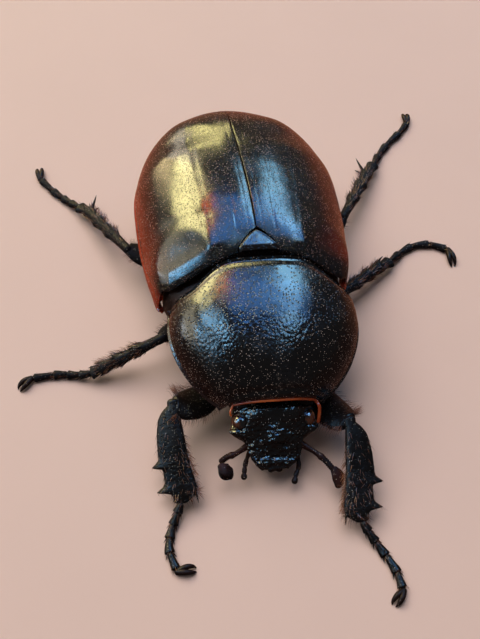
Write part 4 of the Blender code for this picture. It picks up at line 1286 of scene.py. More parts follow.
@dataclass
class Prothorax:
    """Pronotum, its underside, and the orange rim and membrane round the neck."""

    front_middle: float = -9.8
    front_side: float = -8.75
    rear_middle: float = 3.65
    rear_side: float = 1.35
    widest: float = -0.8
    half_width: float = 9.95
    half_rear: float = 9.0
    top: float = 14.15
    top_front: float = 8.75
    edge_front: float = 5.4
    edge_rear: float = 7.9
    wall: float = 0.55
    belly: float = 3.3
    roundness: float = 2 / 2.15
    side_beads: tuple[Place, ...] = ((0.16, 0.012, 0.012), (-0.10, 0.038, 0.013))
    rear_beads: tuple[Place, ...] = ((0.06, 0.012, 0.012), (-0.04, 0.036, 0.012))
    front_beads: tuple[Place, ...] = ((0.10, 0.012, 0.009), (-0.06, 0.034, 0.01))
    swells: tuple[Place, ...] = ((0.05, 3.0, 0.0), (0.015, 0.9, 30.0))
    grid: tuple[int, int] = (172, 244)
    # Strength of the lighter lower sides: partly shell colour, partly painted floor reflection.
    flank_tone: float = 0.6
    neck_sides: int = 48
    neck_half: float = 5.0
    neck_rear: Place = (0.0, -7.9, 5.6)

    def half_at(self, y: Points) -> Points:
        """Half width of the pronotum."""
        ahead = self.half_width * quarter(np.clip(self.widest - y, 0.0, None) / 9.5, 1.9)
        back = np.clip((y - self.widest) / 3.5, 0.0, 1.4)
        behind = self.half_width - (self.half_width - self.half_rear) * back ** 2.2
        return np.where(y < self.widest, ahead, behind)

    def edge_at(self, y: Points) -> Points:
        """Height of its side margin."""
        share = np.clip((y - self.front_side) / (self.rear_side - self.front_side), 0.0, 1.0)
        return self.edge_front + (self.edge_rear - self.edge_front) * np.sin(share * math.pi / 2)

    def skin(self, u: Points, across: Points, inward: float = 0.0) -> Points:
        """Smooth surface of the pronotum.

        Args:
            u: 0 at the front to 1 at the rear.
            across: -1 at the right margin to 1 at the left one.
            inward: How far below the outer surface.

        Returns:
            The points.
        """
        middle = self.front_middle + (self.rear_middle - self.front_middle) * u
        flank = self.front_side + (self.rear_side - self.front_side) * u
        half, edge = self.half_at(flank) - inward, self.edge_at(flank)
        rise = quarter((2.2 - np.minimum(middle, 2.2)) / (2.25 - self.front_middle), 2.15)
        top = self.top_front - 0.5 + (self.top - self.top_front + 0.5) * rise
        top = top - 0.25 * blend((middle - 2.6) / 1.2) - inward
        angle = np.abs(across) * math.pi / 2
        x = np.sign(across) * half * np.sin(angle) ** self.roundness
        z = edge + (top - edge) * np.cos(angle).clip(0.0) ** self.roundness
        lobe = blend((np.abs(across) - 0.2) / 0.4) * u ** 2 + np.abs(across) ** 1.6 * (1.0 - u ** 2)
        return np.stack((x, middle + (flank - middle) * lobe, z), -1)

    def build_pronotum(self, material: Material) -> None:
        """Model and dress the domed shield.

        Args:
            material: Its finish.
        """
        masks: list[tuple[Points, Points]] = []

        def place(u: Points, v: Points) -> Points:
            across = np.interp(v, (0.0, 0.12, 0.88, 1.0), (-1.0, -0.93, 0.93, 1.0))
            along = np.interp(u, (0.0, 0.1, 0.9, 1.0), (0.0, 0.03, 0.955, 1.0))
            points = self.skin(np.sin(along * math.pi / 2) ** 1.15, across)
            height = ridges(1.0 - np.abs(across), self.side_beads) + ridges(1.0 - along, self.rear_beads)
            height += ridges(along, self.front_beads) + swell(points, self.swells)
            # Lighter towards the bottom of the outer sides: partly the shell's colour, partly painted floor
            # reflection.
            low = 1.0 - (points[..., 2] - 7.0) / 6.5
            aside = blend((np.abs(across) - 0.62) / 0.3)
            ahead = blend((-1.4 - points[..., 1]) / 3.4)
            masks.append((blend((low - 0.35) / 0.5) * aside, ahead * 0.85 + 0.15 * aside))
            return raised(points, height * blend(along / 0.006))

        piece = model_sheet("pronotum_shell", *self.grid, place, Carrier.PROTHORAX)
        note(piece, "flank", masks[0][0] * self.flank_tone)
        note(piece, "grain", masks[0][1])
        weigh(piece, "grain", masks[0][1])
        weld(piece)
        WingCases.face_out(piece)
        roughen(piece, 0.30, 0.026, group="grain")
        thicken(piece, self.wall, 0.06)
        hand_over(piece, "prothorax", material, "pronotum")

    def collar_arch(self, count: int, inward: float, back: float) -> Points:
        """Arch of the front opening, right to left."""
        across = np.linspace(-0.88, 0.88, count)
        points = self.skin(np.full(count, 0.004), across, inward)
        points[:, 1] += back
        return points

    def build_collar(self, material: Material) -> None:
        """Model the orange rim that lines the front opening round the head.

        Args:
            material: The membrane's finish.
        """
        arch = self.collar_arch(60, 0.32, -0.12)
        arch = arch[(np.abs(arch[:, 0]) < 4.2)]
        corners = []
        for end, side, low in ((0, -1.0, 0.9), (-1, 1.0, 0.0)):
            foot = np.array((side * 4.45, -11.1 + low, 5.5 + 1.4 * low))
            bend = np.array((side * 4.52, -10.2 + 0.3 * low, 7.1))
            corners.append(spline([foot, bend, arch[end]], 6)[:-1])
        path = np.vstack((corners[0], arch, corners[1][::-1]))
        wide, high = np.linspace(0.10, 0.19, len(path)), np.linspace(0.10, 0.15, len(path))
        stations = np.column_stack((path, wide, high))
        rings = limb_rings(stations[::3], 10, 3, over=np.array((0.0, -1.0, 0.35)))
        build_tube("neck_collar", rings, Carrier.PROTHORAX, "prothorax", material)

    def lower_ring(self, y: float, inset: float, sides: int = 60) -> Points:
        """Closed section of the underside: flat on top, bulging down."""
        half = float(self.half_at(np.array(max(y, self.front_side + 0.3)))) - inset
        if y > self.rear_side:
            half = self.half_rear - inset - 0.8
        top = float(self.edge_at(np.array(y))) - 0.25
        bottom = self.belly + 0.5 * blend((-y - 6.0) / 2.5) + 0.4 * blend(y / 3.0)
        angle = np.linspace(0.0, math.pi, sides)
        x = signed_power(np.cos(angle), 2 / 1.6) * half
        z = top - (top - bottom) * np.sin(angle) ** (2 / 1.6)
        return np.stack((x, np.full(sides, y), z), -1)

    def build_underside(self, material: Material) -> None:
        """Model the prosternum with its keel between the hips.

        Args:
            material: Its finish.
        """
        rings = []
        for y in np.linspace(-7.0, 1.9, 34):
            inset = 0.5 + 0.5 * blend((y - 0.6) / 1.2)
            ring = self.lower_ring(float(y), inset)
            x = ring[:, 0]
            keel = 0.35 * hump(x, 0.7) * hump(np.array(y + 2.2), 2.2)
            crease = 0.14 * hump(np.abs(x) - 5.6, 0.25)
            below = ring[:, 2] < 6.5
            ring[:, 2] += np.where(below, crease - keel, 0.0)
            rings.append(ring)
        build_tube("prosternum_plate", np.array(rings), Carrier.PROTHORAX, "prothorax", material,
                   "prosternum", grain=(0.5, 0.05))

    def build_neck(self, head: Head, material: Material) -> None:
        """Model the dark skin between the front opening and the back of the head.

        Args:
            head: The head, whose section it meets.
            material: Its finish.
        """
        inner = head.ring(0.16, self.neck_sides)
        c, s = wheel(self.neck_sides)
        x = signed_power(c, 2 / 2.6) * self.neck_half
        z = np.where(s > 0.0, 2.55, 1.6) * signed_power(s, 2 / 2.6)
        outer = np.stack((x, np.zeros(self.neck_sides), z), -1) + self.neck_rear
        rings = [outer + (0.0, 1.5, 0.0)]
        for t in (0.0, 0.3, 0.6, 0.85, 1.0):
            sag = 0.55 * math.sin(t * math.pi)
            ring = outer * (1.0 - t) + inner * t
            ring[:, 1] += sag
            rings.append(ring)
        build_tube("neck_skin", np.array(rings), Carrier.PROTHORAX, "prothorax", material)


# ---------------------------------------------------------------- hind body

@dataclass
class HindBody:
    """Thorax, abdomen and tail plate under the wing cases."""

    cases: WingCases = field(default_factory=WingCases)
    neck_front: float = 1.2
    neck_slant: float = 0.085
    neck_half: float = 8.3
    neck_top: float = 12.0
    thorax_rear: float = 12.4
    abdomen_rear: float = 26.0
    belly_thorax: float = 3.1
    belly_abdomen: float = 3.2
    belly_rise: float = 1.0
    sternites: int = 6
    gap: float = 0.3
    clear: float = 0.95
    sink: float = 0.7
    slope: float = 2.2
    slope_start: float = 24.0
    tail_half: float = 5.6
    tail_top: float = 7.6

    def ring(self, y: float, half: float, top: float, bottom: float, sides: int = 72) -> Points:
        """Closed section: a dome over a shallow belly."""
        middle = float(self.cases.edge_at(np.array(y))) - 0.2
        c, s = wheel(sides)
        x = signed_power(c, 2 / 2.2) * half
        up = middle + (top - middle) * np.abs(s) ** (2 / 2.2)
        down = middle - (middle - bottom) * np.abs(s) ** (2 / 1.9)
        return np.stack((x, np.full(sides, y), np.where(s >= 0.0, up, down)), -1)

    def half_at(self, y: float) -> float:
        """Half width that fits under the wing cases."""
        y = np.array(y)
        reach = self.cases.rear - self.clear - self.cases.widest
        share = np.clip(y - self.cases.widest, 0.0, None) / reach
        behind = (self.cases.half_width - self.clear) * quarter(share, 2.2)
        ahead = self.cases.half_at(y) - self.clear
        return float(np.where(y < self.cases.widest, ahead, behind)) - 0.15

    def top_at(self, y: float) -> float:
        """Height that fits under the wing cases."""
        roof = float(self.cases.top_at(np.array(min(y, self.slope_start)))) - self.clear - self.sink
        return roof - self.slope * max(0.0, y - self.slope_start)

    def build_thorax(self, material: Material) -> None:
        """Model the neck behind the pronotum and the breastplate.

        Args:
            material: Its finish.
        """
        stations = [(self.neck_front, self.neck_half, self.neck_top, 4.0),
                    (2.6, self.neck_half + 1.05, self.neck_top, 4.0)]
        for y in np.linspace(4.0, self.thorax_rear - 0.35, 26):
            taper = blend((6.5 - y) / 2.4)
            stations.append((float(y), self.half_at(y) + 0.45 * taper,
                             self.top_at(y) - 0.6 * taper, self.belly_thorax + 0.6 * taper))
        stations.append((self.thorax_rear, self.half_at(self.thorax_rear) - 0.5,
                         self.top_at(self.thorax_rear) - 0.5, self.belly_thorax + 0.4))
        rings = []
        for y, half, top, bottom in stations:
            ring = self.ring(y, half, top, bottom)
            x, z = ring[:, 0], ring[:, 2]
            groove = 0.22 * hump(x, 0.25) * blend((y - 6.8) / 1.0)
            crease = 0.16 * hump(np.abs(x) - 6.6, 0.22)
            ring[:, 2] += np.where(z < 5.0, groove + crease, 0.0)
            ring[:, 1] += self.neck_slant * (z - 4.0) * blend((5.0 - y) / 1.7)
            rings.append(ring)
        build_tube("hind_thorax", np.array(rings), Carrier.TRUNK, "underside", material, "thorax",
                   grain=(0.45, 0.05))

    def build_abdomen(self, material: Material) -> None:
        """Model the belly with its overlapping plates.

        Args:
            material: Its finish.
        """
        front = self.thorax_rear + self.gap
        half, top = self.half_at(front) - 0.5, self.top_at(front) - 0.5
        rings = [self.ring(front, half, top, self.belly_abdomen + 0.4)]
        profile = ((0.02, 0.30), (0.10, 0.10), (0.3, 0.0), (0.6, -0.04), (0.85, 0.0), (0.97, 0.12),
                   (1.0, 0.32))
        for plate in range(self.sternites):
            for part, groove in profile:
                along = (plate + part) / self.sternites
                y = front + (self.abdomen_rear - front) * along
                ring = self.ring(y, self.half_at(y) - 0.5 * max(groove, 0.0), self.top_at(y),
                                 self.belly_abdomen + groove + self.belly_rise * along ** 2)
                x, z = ring[:, 0], ring[:, 2]
                pinch = 0.18 * hump(np.abs(x) - 0.8 * float(np.abs(x).max()), 0.5)
                ring[:, 2] += np.where(z < 5.2, pinch, 0.0)
                rings.append(ring)
        build_tube("abdomen_plates", np.array(rings), Carrier.TRUNK, "underside", material, "abdomen",
                   grain=(0.4, 0.03))

    def tail_rings(self) -> Points:
        """Rings of the tail plate, from its seam to its middle."""
        front = self.abdomen_rear + self.gap
        bottom = self.belly_abdomen + self.belly_rise + 0.2
        middle = (bottom + self.tail_top) / 2
        rings = []
        for t in np.linspace(0.0, 1.0, 16):
            angle = t * math.pi / 2
            shrink = math.cos(angle) ** 0.75 * 0.97 + 0.03
            back = 1.75 * math.sin(angle) ** 1.2
            ring = self.ring(front, self.tail_half, self.tail_top, bottom, 56)
            rise = ring[:, 2] - middle
            x, y, z = ring[:, 0] * shrink, front + back - 0.12 * rise, middle + rise * shrink
            rings.append(np.stack((x, y, z), -1))
        return np.array(rings)

    def build_tail(self, material: Material) -> None:
        """Model the convex tail plate.

        Args:
            material: Its finish.
        """
        build_tube("tail_plate", self.tail_rings(), Carrier.TRUNK, "underside", material, "pygidium",
                   grain=(0.3, 0.03))


# ---------------------------------------------------------------- head

@dataclass
class Head:
    """Head capsule with cheek corners, brow, clypeus and eye sockets."""

    rear: Place = (0.0, -8.35, 6.0)
    front: Place = (0.0, -14.2, 2.9)
    eye_radius: float = 0.92
    eye_place: Place = (3.4, -10.35, 5.55)
    tooth_base: Place = (0.75, -13.95, 3.15)
    tooth_tip: Place = (0.9, -14.6, 3.65)
    tooth_radius: float = 0.36
    cheek: Place = (4.05, -11.45, 4.9)
    knobs: tuple[tuple[float, float, float, float], ...] = ((0.0, -12.15, 0.5, 0.5), (1.75, -10.3, 0.5, 0.7))
    bands: tuple[tuple[float, float, float, float], ...] = (
        (-0.16, -11.1, 0.6, 1.8), (0.22, -14.05, 0.16, 1.9), (-0.12, -13.6, 0.3, 1.6))
    stations: tuple[tuple[float, float, float, float], ...] = (
        (0.00, 3.7, 1.7, 1.8), (0.14, 4.15, 2.0, 2.1), (0.30, 4.3, 2.0, 2.2), (0.40, 4.4, 1.75, 2.1),
        (0.45, 4.6, 1.6, 2.0), (0.52, 4.1, 1.45, 1.9), (0.60, 3.25, 1.2, 1.75), (0.66, 2.85, 1.05, 1.6),
        (0.78, 2.72, 0.85, 1.3), (0.90, 2.45, 0.6, 0.9), (0.98, 1.95, 0.4, 0.6), (1.04, 1.4, 0.3, 0.4),
    )

    def axes(self) -> tuple[np.ndarray, np.ndarray]:
        """The way that the head points, and the way square to it that faces up."""
        along = unit(np.array(self.front) - np.array(self.rear))
        return along, np.array((0.0, along[2], -along[1]))

    def ring(self, share: float, sides: int = 96) -> Points:
        """Section of the capsule at a share of its axis."""
        table = np.array(self.stations)
        half, above, below = (float(np.interp(share, table[:, 0], table[:, k])) for k in (1, 2, 3))
        normal = self.axes()[1]
        centre = np.array(self.rear) * (1.0 - share) + np.array(self.front) * share
        c, s = wheel(sides)
        x = signed_power(c, 2 / 2.25) * half
        height = signed_power(s, 2 / 2.2) * np.where(s > 0.0, above, below)
        return centre + x[:, None] * np.array((1.0, 0.0, 0.0)) + height[:, None] * normal

    def sculpt(self, points: Points) -> Points:
        """Raise the brow, the ridges and the rim, and sink the sockets."""
        normals = grid_normals(points)
        middle = points.mean(1, keepdims=True)
        normals *= np.sign(np.sum(normals * (points - middle), -1, keepdims=True))
        x, y = points[..., 0], points[..., 1]
        upper = blend((normals[..., 2] - 0.05) / 0.3)
        height = 0.16 * hump(y + 12.35 + 0.1 * np.abs(x), 0.22) * (np.abs(x) < 3.2)
        for aside, ahead, rise, spread in self.knobs:
            height += rise * np.exp(-((np.abs(x) - aside) ** 2 + (y - ahead) ** 2) / spread)
        for rise, ahead, length, width in self.bands:
            height += rise * hump(y - ahead, length) * hump(x, width)
        height += 0.05 * ripple(points, 0.9)
        for side in Side:
            eye = mirrored(self.eye_place, side)
            distance = np.linalg.norm(points - eye, axis=-1)
            height -= 0.5 * blend((self.eye_radius + 0.25 - distance) / 0.5)
            cheek = mirrored(self.cheek, side)
            height += 0.3 * hump(np.linalg.norm(points - cheek, axis=-1), 0.65)
        return points + normals * (height * upper)[..., None]

    def build(self, horn: Horn, material: Material) -> None:
        """Model and dress the capsule with the two teeth of its rim.

        Args:
            horn: The spine to copy.
            material: Its finish.
        """
        shares = np.concatenate((np.linspace(0.0, 0.38, 22), np.linspace(0.39, 0.62, 26),
                                 np.linspace(0.63, 1.04, 38)))
        smoothed = []
        for share in shares:
            near = [self.ring(min(max(share + step, 0.0), 1.04)) for step in (-0.012, 0.0, 0.012)]
            smoothed.append(sum(near) / 3)
        rings = self.sculpt(np.array(smoothed))
        tip = closing(rings[-1], self.axes()[0], ((0.93, 0.07), (0.75, 0.13), (0.4, 0.17)))
        capsule = model_tube("head_capsule", np.vstack((rings, np.array(tip))), Carrier.PROTHORAX)
        normals = np.empty(len(capsule.data.vertices) * 3, np.float32)
        capsule.data.vertex_normals.foreach_get("vector", normals)
        ahead = placed(points_of(capsule), Carrier.PROTHORAX.matrix.inverted())[:, 1]
        rough = blend((-10.4 - ahead) / 1.2) * 0.8 + 0.2
        weigh(capsule, "grain", blend((normals.reshape(-1, 3)[:, 2] + 0.1) / 0.4) * rough)
        refine(capsule)
        roughen(capsule, 0.36, 0.24, group="grain")
        roughen(capsule, 0.8, 0.16, "CLOUDS", "grain")
        matrix = Carrier.PROTHORAX.matrix
        teeth = []
        for side in Side:
            ends = (placed(mirrored(end, side), matrix) for end in (self.tooth_base, self.tooth_tip))
            teeth.append(horn.copy(*ends, self.tooth_radius, np.array((side.value, 0.0, 0.6))))
        piece = join_pieces("head_capsule", [capsule, *teeth])
        hand_over(piece, "head", material, "head", degrees=70.0)

    def build_eye(self, side: Side, material: Material) -> None:
        """Model one compound eye, a little flattened against the head.

        Args:
            side: Which of the two.
            material: Its finish.
        """
        deselect()
        place = Vector(placed(mirrored(self.eye_place, side), Carrier.PROTHORAX.matrix)) * MM
        radius = self.eye_radius * MM
        bpy.ops.mesh.primitive_uv_sphere_add(segments=40, ring_count=24, radius=radius, location=place)
        piece = christen(bpy.context.object, f"compound_eye_{side.label}")
        bpy.ops.object.mode_set(mode="EDIT")
        bpy.ops.transform.resize(value=(0.97, 1.05, 0.97))
        bpy.ops.object.mode_set(mode="OBJECT")
        bpy.ops.object.transform_apply(location=True, rotation=True, scale=True)
        refine(piece)
        hand_over(piece, "eye", material, f"eye_{side.label}")


# ---------------------------------------------------------------- mouthparts and feelers

@dataclass
class Mouth:
    """Jaws, lower lip and palps."""

    palps: dict[Side, tuple[Place, ...]] = field(default_factory=lambda: {
        Side.RIGHT: ((-2.3, -12.0, 2.9), (-2.9, -13.2, 2.05), (-3.15, -14.1, 1.75), (-3.25, -14.7, 1.6)),
        Side.LEFT: ((2.3, -12.3, 2.9), (2.5, -13.9, 2.05), (2.1, -14.9, 1.75), (1.85, -15.6, 1.6)),
    })
    palp_halves: tuple[float, ...] = (0.25, 0.27, 0.27, 0.36)
    joints: int = 4

    def build_jaw(self, side: Side, material: Material) -> None:
        """Model one jaw, curved to its blunt tip."""
        s = side.value
        rings = limb_rings([(s * 1.6, -12.0, 2.1, 0.38, 0.4), (s * 1.7, -13.2, 2.05, 0.42, 0.36),
                            (s * 1.25, -14.15, 2.05, 0.2, 0.2)], 14, 6)
        build_tube(f"jaw_{side.label}", rings, Carrier.PROTHORAX, "mouth", material,
                   f"mandible_{side.label}")

    def build_lip(self, material: Material) -> None:
        """Model the lower lip, notched at its front."""
        rings = limb_rings([(0.0, -11.2, 2.1, 0.8, 0.45), (0.0, -12.9, 2.0, 0.95, 0.5),
                            (0.0, -14.4, 2.0, 0.75, 0.35)], 20, 7)
        notch = hump(rings[..., 0], 0.22) * blend((-13.9 - rings[..., 1]) / 0.6)
        rings[..., 1] += 0.22 * notch
        rings[..., 2] += 0.12 * hump(rings[..., 0], 0.2) * (rings[..., 2] < 2.0)
        build_tube("lower_lip", rings, Carrier.PROTHORAX, "mouth", material, "labium")

    def palp_rings(self, side: Side) -> Points:
        """Rings of one palp, waisted at its joints."""
        stations = [(*point, half, half) for point, half in zip(self.palps[side], self.palp_halves)]
        curve = spline(stations, 10)
        share = np.linspace(0.0, self.joints, len(curve)) % 1.0
        waist = 1.0 - 0.3 * hump(np.minimum(share, 1.0 - share), 0.13)
        curve[:, 3:] *= waist[:, None]
        return limb_rings(curve[:-2], 12, 1, (0.5, 1.0))

    def build_palp(self, side: Side, material: Material) -> None:
        """Model one jointed palp."""
        build_tube(f"mouth_palp_{side.label}", self.palp_rings(side), Carrier.PROTHORAX, "mouth",
                   material, f"palp_{side.label}")


@dataclass
class Antennae:
    """Elbowed feelers, each with a club of three leaves."""

    stalks: dict[Side, tuple[Place, ...]] = field(default_factory=lambda: {
        Side.RIGHT: ((-2.6, -12.0, 3.5), (-3.95, -12.75, 3.35), (-4.9, -13.0, 3.15), (-5.6, -13.35, 2.85)),
        Side.LEFT: ((2.7, -12.2, 3.5), (4.2, -13.35, 3.35), (5.1, -14.2, 3.1), (5.75, -15.0, 2.8)),
    })
    clubs: dict[Side, tuple[Place, ...]] = field(default_factory=lambda: {
        Side.RIGHT: ((-5.6, -13.8, 2.7), (-5.15, -14.25, 2.5), (-4.55, -14.45, 2.3)),
        Side.LEFT: ((5.8, -15.05, 2.8), (6.15, -15.75, 2.6), (6.2, -16.6, 2.3)),
    })
    stalk_half: float = 0.36
    beads: int = 7
    leaves: int = 3
    club_half: dict[Side, float] = field(default_factory=lambda: {Side.RIGHT: 0.85, Side.LEFT: 0.6})

    def build_stalk(self, side: Side, material: Material) -> None:
        """Model the long first joint and the beads after it.

        Args:
            side: Which of the two.
            material: Its finish.
        """
        curve = spline([(*point, self.stalk_half, self.stalk_half) for point in self.stalks[side]], 22)
        share = np.linspace(0.0, 1.0, len(curve))
        shaft = 1.12 - 0.35 * blend(share / 0.3) + 0.3 * hump(share - 0.5, 0.1)
        bead = 0.72 + 0.28 * np.abs(np.sin((share - 0.55) / 0.45 * math.pi * self.beads))
        curve[:, 3:] *= np.where(share < 0.56, shaft, bead)[:, None]
        build_tube(f"antenna_{side.label}", limb_rings(curve, 12, 1), Carrier.PROTHORAX, "antenna",
                   material, f"antenna_stalk_{side.label}")

    def build_club(self, side: Side, material: Material) -> None:
        """Model the leaves of the club, fanned a little one over the other.

        Args:
            side: Which of the two.
            material: Its finish.
        """
        ends = np.array(self.clubs[side])
        half = self.club_half[side]
        leaves = []
        for index in range(self.leaves):
            lift = (index - (self.leaves - 1) / 2) * half * 0.5
            width = half * (1.0 - 0.08 * abs(index - 1))
            middle = ends[1] + (0.05 * index * side.value, 0.0, lift)
            first, last = (middle + (ends[k] - ends[1]) * 0.96 for k in (0, 2))
            stations = [(*first, half * 0.45, 0.16), (*middle, width, half * 0.27),
                        (*last, half * 0.6, 0.14)]
            leaves.append(model_tube("leaf", limb_rings(stations, 18, 7, (1.2, 2.0)), Carrier.PROTHORAX))
        piece = join_pieces(f"club_{side.label}", leaves)
        refine(piece)
        hand_over(piece, "antenna", material, f"antenna_club_{side.label}")


# ---------------------------------------------------------------- legs

class Pair(Enum):
    """The three pairs of legs."""

    FRONT = "front"
    MIDDLE = "middle"
    HIND = "hind"


FOOT_Z = 0.42

COXAE: dict[Pair, tuple[Place, Place, float]] = {
    Pair.FRONT: ((1.6, -4.1, 3.15), (4.4, -4.6, 3.3), 1.15),
    Pair.MIDDLE: ((1.7, 6.2, 2.85), (4.6, 5.9, 3.1), 1.15),
    Pair.HIND: ((1.5, 11.2, 2.75), (5.6, 10.9, 3.25), 1.15),
}
FEMUR_SIZE = {Pair.FRONT: (1.9, 0.85), Pair.MIDDLE: (1.35, 0.7), Pair.HIND: (1.5, 0.72)}
TIBIA_SIZE = {Pair.FRONT: (1.5, 0.55), Pair.MIDDLE: (0.70, 0.68), Pair.HIND: (0.70, 0.68)}
SPUR_RISE = {Pair.MIDDLE: 0.6, Pair.HIND: 1.9}


@dataclass
class Leg:
    """One leg: its places on the floor's frame, and its five segments."""

    pair: Pair
    side: Side
    knee: Place
    ankle: Place
    foot: tuple[Place, ...]
    claw: Place
    outward: Place
    tile: int
    tarsomeres: int = 5
    foot_half: float = 0.53
    foot_height: float = 0.48
    blade_teeth: tuple[Place, ...] = ((0.63, 0.10, 0.68), (0.885, 0.10, 0.86), (0.985, 0.04, 0.16))

    @property
    def digs(self) -> bool:
        """True for a front leg, whose shin is a digging blade."""
        return self.pair is Pair.FRONT

    @property
    def label(self) -> str:
        """Pair and side, as the solids' names have them."""
        return f"{self.pair.value}_{self.side.label}"

    @property
    def carrier(self) -> Carrier:
        """The frame that bears the coxa."""
        return Carrier.PROTHORAX if self.digs else Carrier.TRUNK

    def hip(self) -> np.ndarray:
        """Outer end of the coxa, in the floor's frame."""
        lean = FLOOR_SHIFT.inverted() @ self.carrier.matrix
        return placed(mirrored(COXAE[self.pair][1], self.side), lean)

    def axis(self) -> tuple[np.ndarray, np.ndarray, np.ndarray, np.ndarray]:
        """The shin's root, its whole length, its unit way and its outer side."""
        root, whole = np.array(self.knee), np.array(self.ankle) - np.array(self.knee)
        along = unit(whole)
        outward = unit(np.array(self.outward))
        return root, whole, along, unit(outward - along * float(outward @ along))

    def build(self, horn: Horn, wardrobe: Wardrobe) -> None:
        """Model and dress the five segments.

        Args:
            horn: The spine to copy.
            wardrobe: The finishes.
        """
        self.build_coxa(wardrobe.underside)
        shell = wardrobe.leg if self.digs else wardrobe.walking_leg
        self.build_femur(shell)
        self.build_tibia(horn, shell)
        self.build_tarsus(horn, shell)
        self.build_claws(wardrobe.claw)

    def build_coxa(self, material: Material) -> None:
        """Model the hip barrel."""
        inner, outer, radius = COXAE[self.pair]
        inner, outer = mirrored(inner, self.side), mirrored(outer, self.side)
        small = radius * 0.72
        stations = [(*inner, small, small), (*((inner + outer) / 2), radius, radius), (*outer, small, small)]
        build_tube(f"hip_{self.label}", limb_rings(stations, 24, 8), self.carrier, "leg", material,
                   f"coxa_{self.label}", grain=(0.4, 0.04))

    def femur_rings(self) -> Points:
        """Rings of the thigh: a flattened club that sags and rises to the knee."""
        root, end = self.hip() - 0.3 * UP, np.array(self.knee)
        half, high = FEMUR_SIZE[self.pair]
        sag = UP * (0.8 if self.digs else 0.55)
        ahead = np.array((0.0, -0.35 if self.digs else 0.0, 0.0))

        def at(share: float) -> np.ndarray:
            return root * (1.0 - share) + end * share

        stations = [(*at(0.0), half * 0.42, high * 0.7), (*(at(0.25) - sag * 0.7), half * 0.8, high * 0.85),
                    (*(at(0.55) - sag + ahead), half, high),
                    (*(at(0.82) - sag * 0.5 + ahead), half * 0.88, high * 0.92),
                    (*at(0.96), half * 0.55, high * 0.7)]
        return limb_rings(stations, 28, 8)

    def build_femur(self, material: Material) -> None:
        """Model the thigh."""
        piece = model_tube(f"thigh_{self.label}", self.femur_rings(), Carrier.FLOOR)
        refine(piece)
        roughen(piece, 0.3, 0.03)
        hand_over(piece, "leg", material, f"femur_{self.label}")

    def blade_rings(self) -> Points:
        """Rings of the digging shin: a flat blade with three outer teeth and a spread inner corner."""
        root, whole, along, outward = self.axis()
        face = np.cross(along, outward)
        half, thick = TIBIA_SIZE[self.pair]
        knots = np.array((-0.01, 0.06, 0.14, 0.30, 0.48, 0.60, 0.67, 0.78, 0.86, 0.93, 1.0))
        outer_edge = np.array((0.35, 0.85, 1.15, 1.32, 1.34, 1.28, 1.06, 1.02, 0.90, 0.55, 0.34))
        inner_edge = np.array((0.30, 0.38, 0.44, 0.58, 0.69, 0.82, 0.92, 1.08, 1.20, 1.12, 0.42))
        depth = np.array((0.85, 0.95, 1.0, 1.05, 1.05, 1.0, 0.95, 0.9, 0.88, 0.8, 0.5))
        c, s = wheel(30)
        rings = []
        for share in np.concatenate((np.linspace(-0.01, 0.5, 26), np.linspace(0.51, 1.0, 60))):
            tooth = sum(height * self.tooth(share, tip, rise) for tip, rise, height in self.blade_teeth)
            o = half * (float(np.interp(share, knots, outer_edge)) + tooth)
            i = half * float(np.interp(share, knots, inner_edge))
            t = thick * float(np.interp(share, knots, depth))
            wide = np.where(c > 0.0, o, i) * signed_power(c, 1.15)
            ridge = 1.0 - 0.12 * hump(c - 0.1, 0.25) * (s > 0.0)
            tall = t * signed_power(s, 0.9) * ridge
            rings.append(root + whole * share + wide[:, None] * outward + tall[:, None] * face)
        root_end = closing(rings[0], -along, ((0.3, 0.22), (0.7, 0.15)))
        tip_end = closing(rings[-1], along, ((0.85, 0.06), (0.4, 0.1)))
        return np.array([*root_end, *rings, *tip_end])

    @staticmethod
    def tooth(share: float, tip: float, rise: float) -> float:
        """Outline of a tooth that slopes up to its tip and falls off steeply behind it."""
        if share <= tip:
            return max(0.0, 1.0 - (tip - share) / rise) ** 1.7
        return max(0.0, 1.0 - (share - tip) / 0.022) ** 1.2

    def shin_rings(self) -> Points:
        """Rings of a walking shin that widens at two slanting ridges and at its crown."""
        root, whole, _, _ = self.axis()
        half, high = TIBIA_SIZE[self.pair]
        shape = (
            (0.0, 0.74, 0.74), (0.2, 0.82, 0.82), (0.34, 0.95, 0.95), (0.41, 1.14, 1.1),
            (0.45, 0.84, 0.86), (0.56, 0.9, 0.9), (0.66, 1.06, 1.04), (0.72, 1.24, 1.18),
            (0.76, 0.9, 0.92), (0.88, 0.98, 0.98), (0.97, 1.14, 1.1), (1.02, 1.02, 0.98),
        )
        stations = [(*(root + whole * share), half * wide, high * tall) for share, wide, tall in shape]
        return limb_rings(stations, 22, 5, (0.3, 0.12))

    def tibia_rings(self) -> Points:
        """Rings of the shin, whichever its kind."""
        return self.blade_rings() if self.digs else self.shin_rings()

    def spines(self, horn: Horn) -> list[Piece]:
        """Spines of the shin: one spur on a digging shin, rows and two spurs on a walking one.

        Args:
            horn: The spine to copy.

        Returns:
            The copies.
        """
        root, whole, along, outward = self.axis()
        top = np.cross(along, outward)
        half, high = TIBIA_SIZE[self.pair]
        copies = []

        def stand(share: float, turn: float, sink: float, rise: float, reach: float, radius: float) -> None:
            away = outward * math.cos(math.radians(turn)) + top * math.sin(math.radians(turn))
            base = root + whole * share + away * sink
            tip = base + away * rise + along * reach
            base, tip = (placed(point, FLOOR_SHIFT) for point in (base, tip))
            copies.append(horn.copy(base, tip, radius, along - away * 0.3))

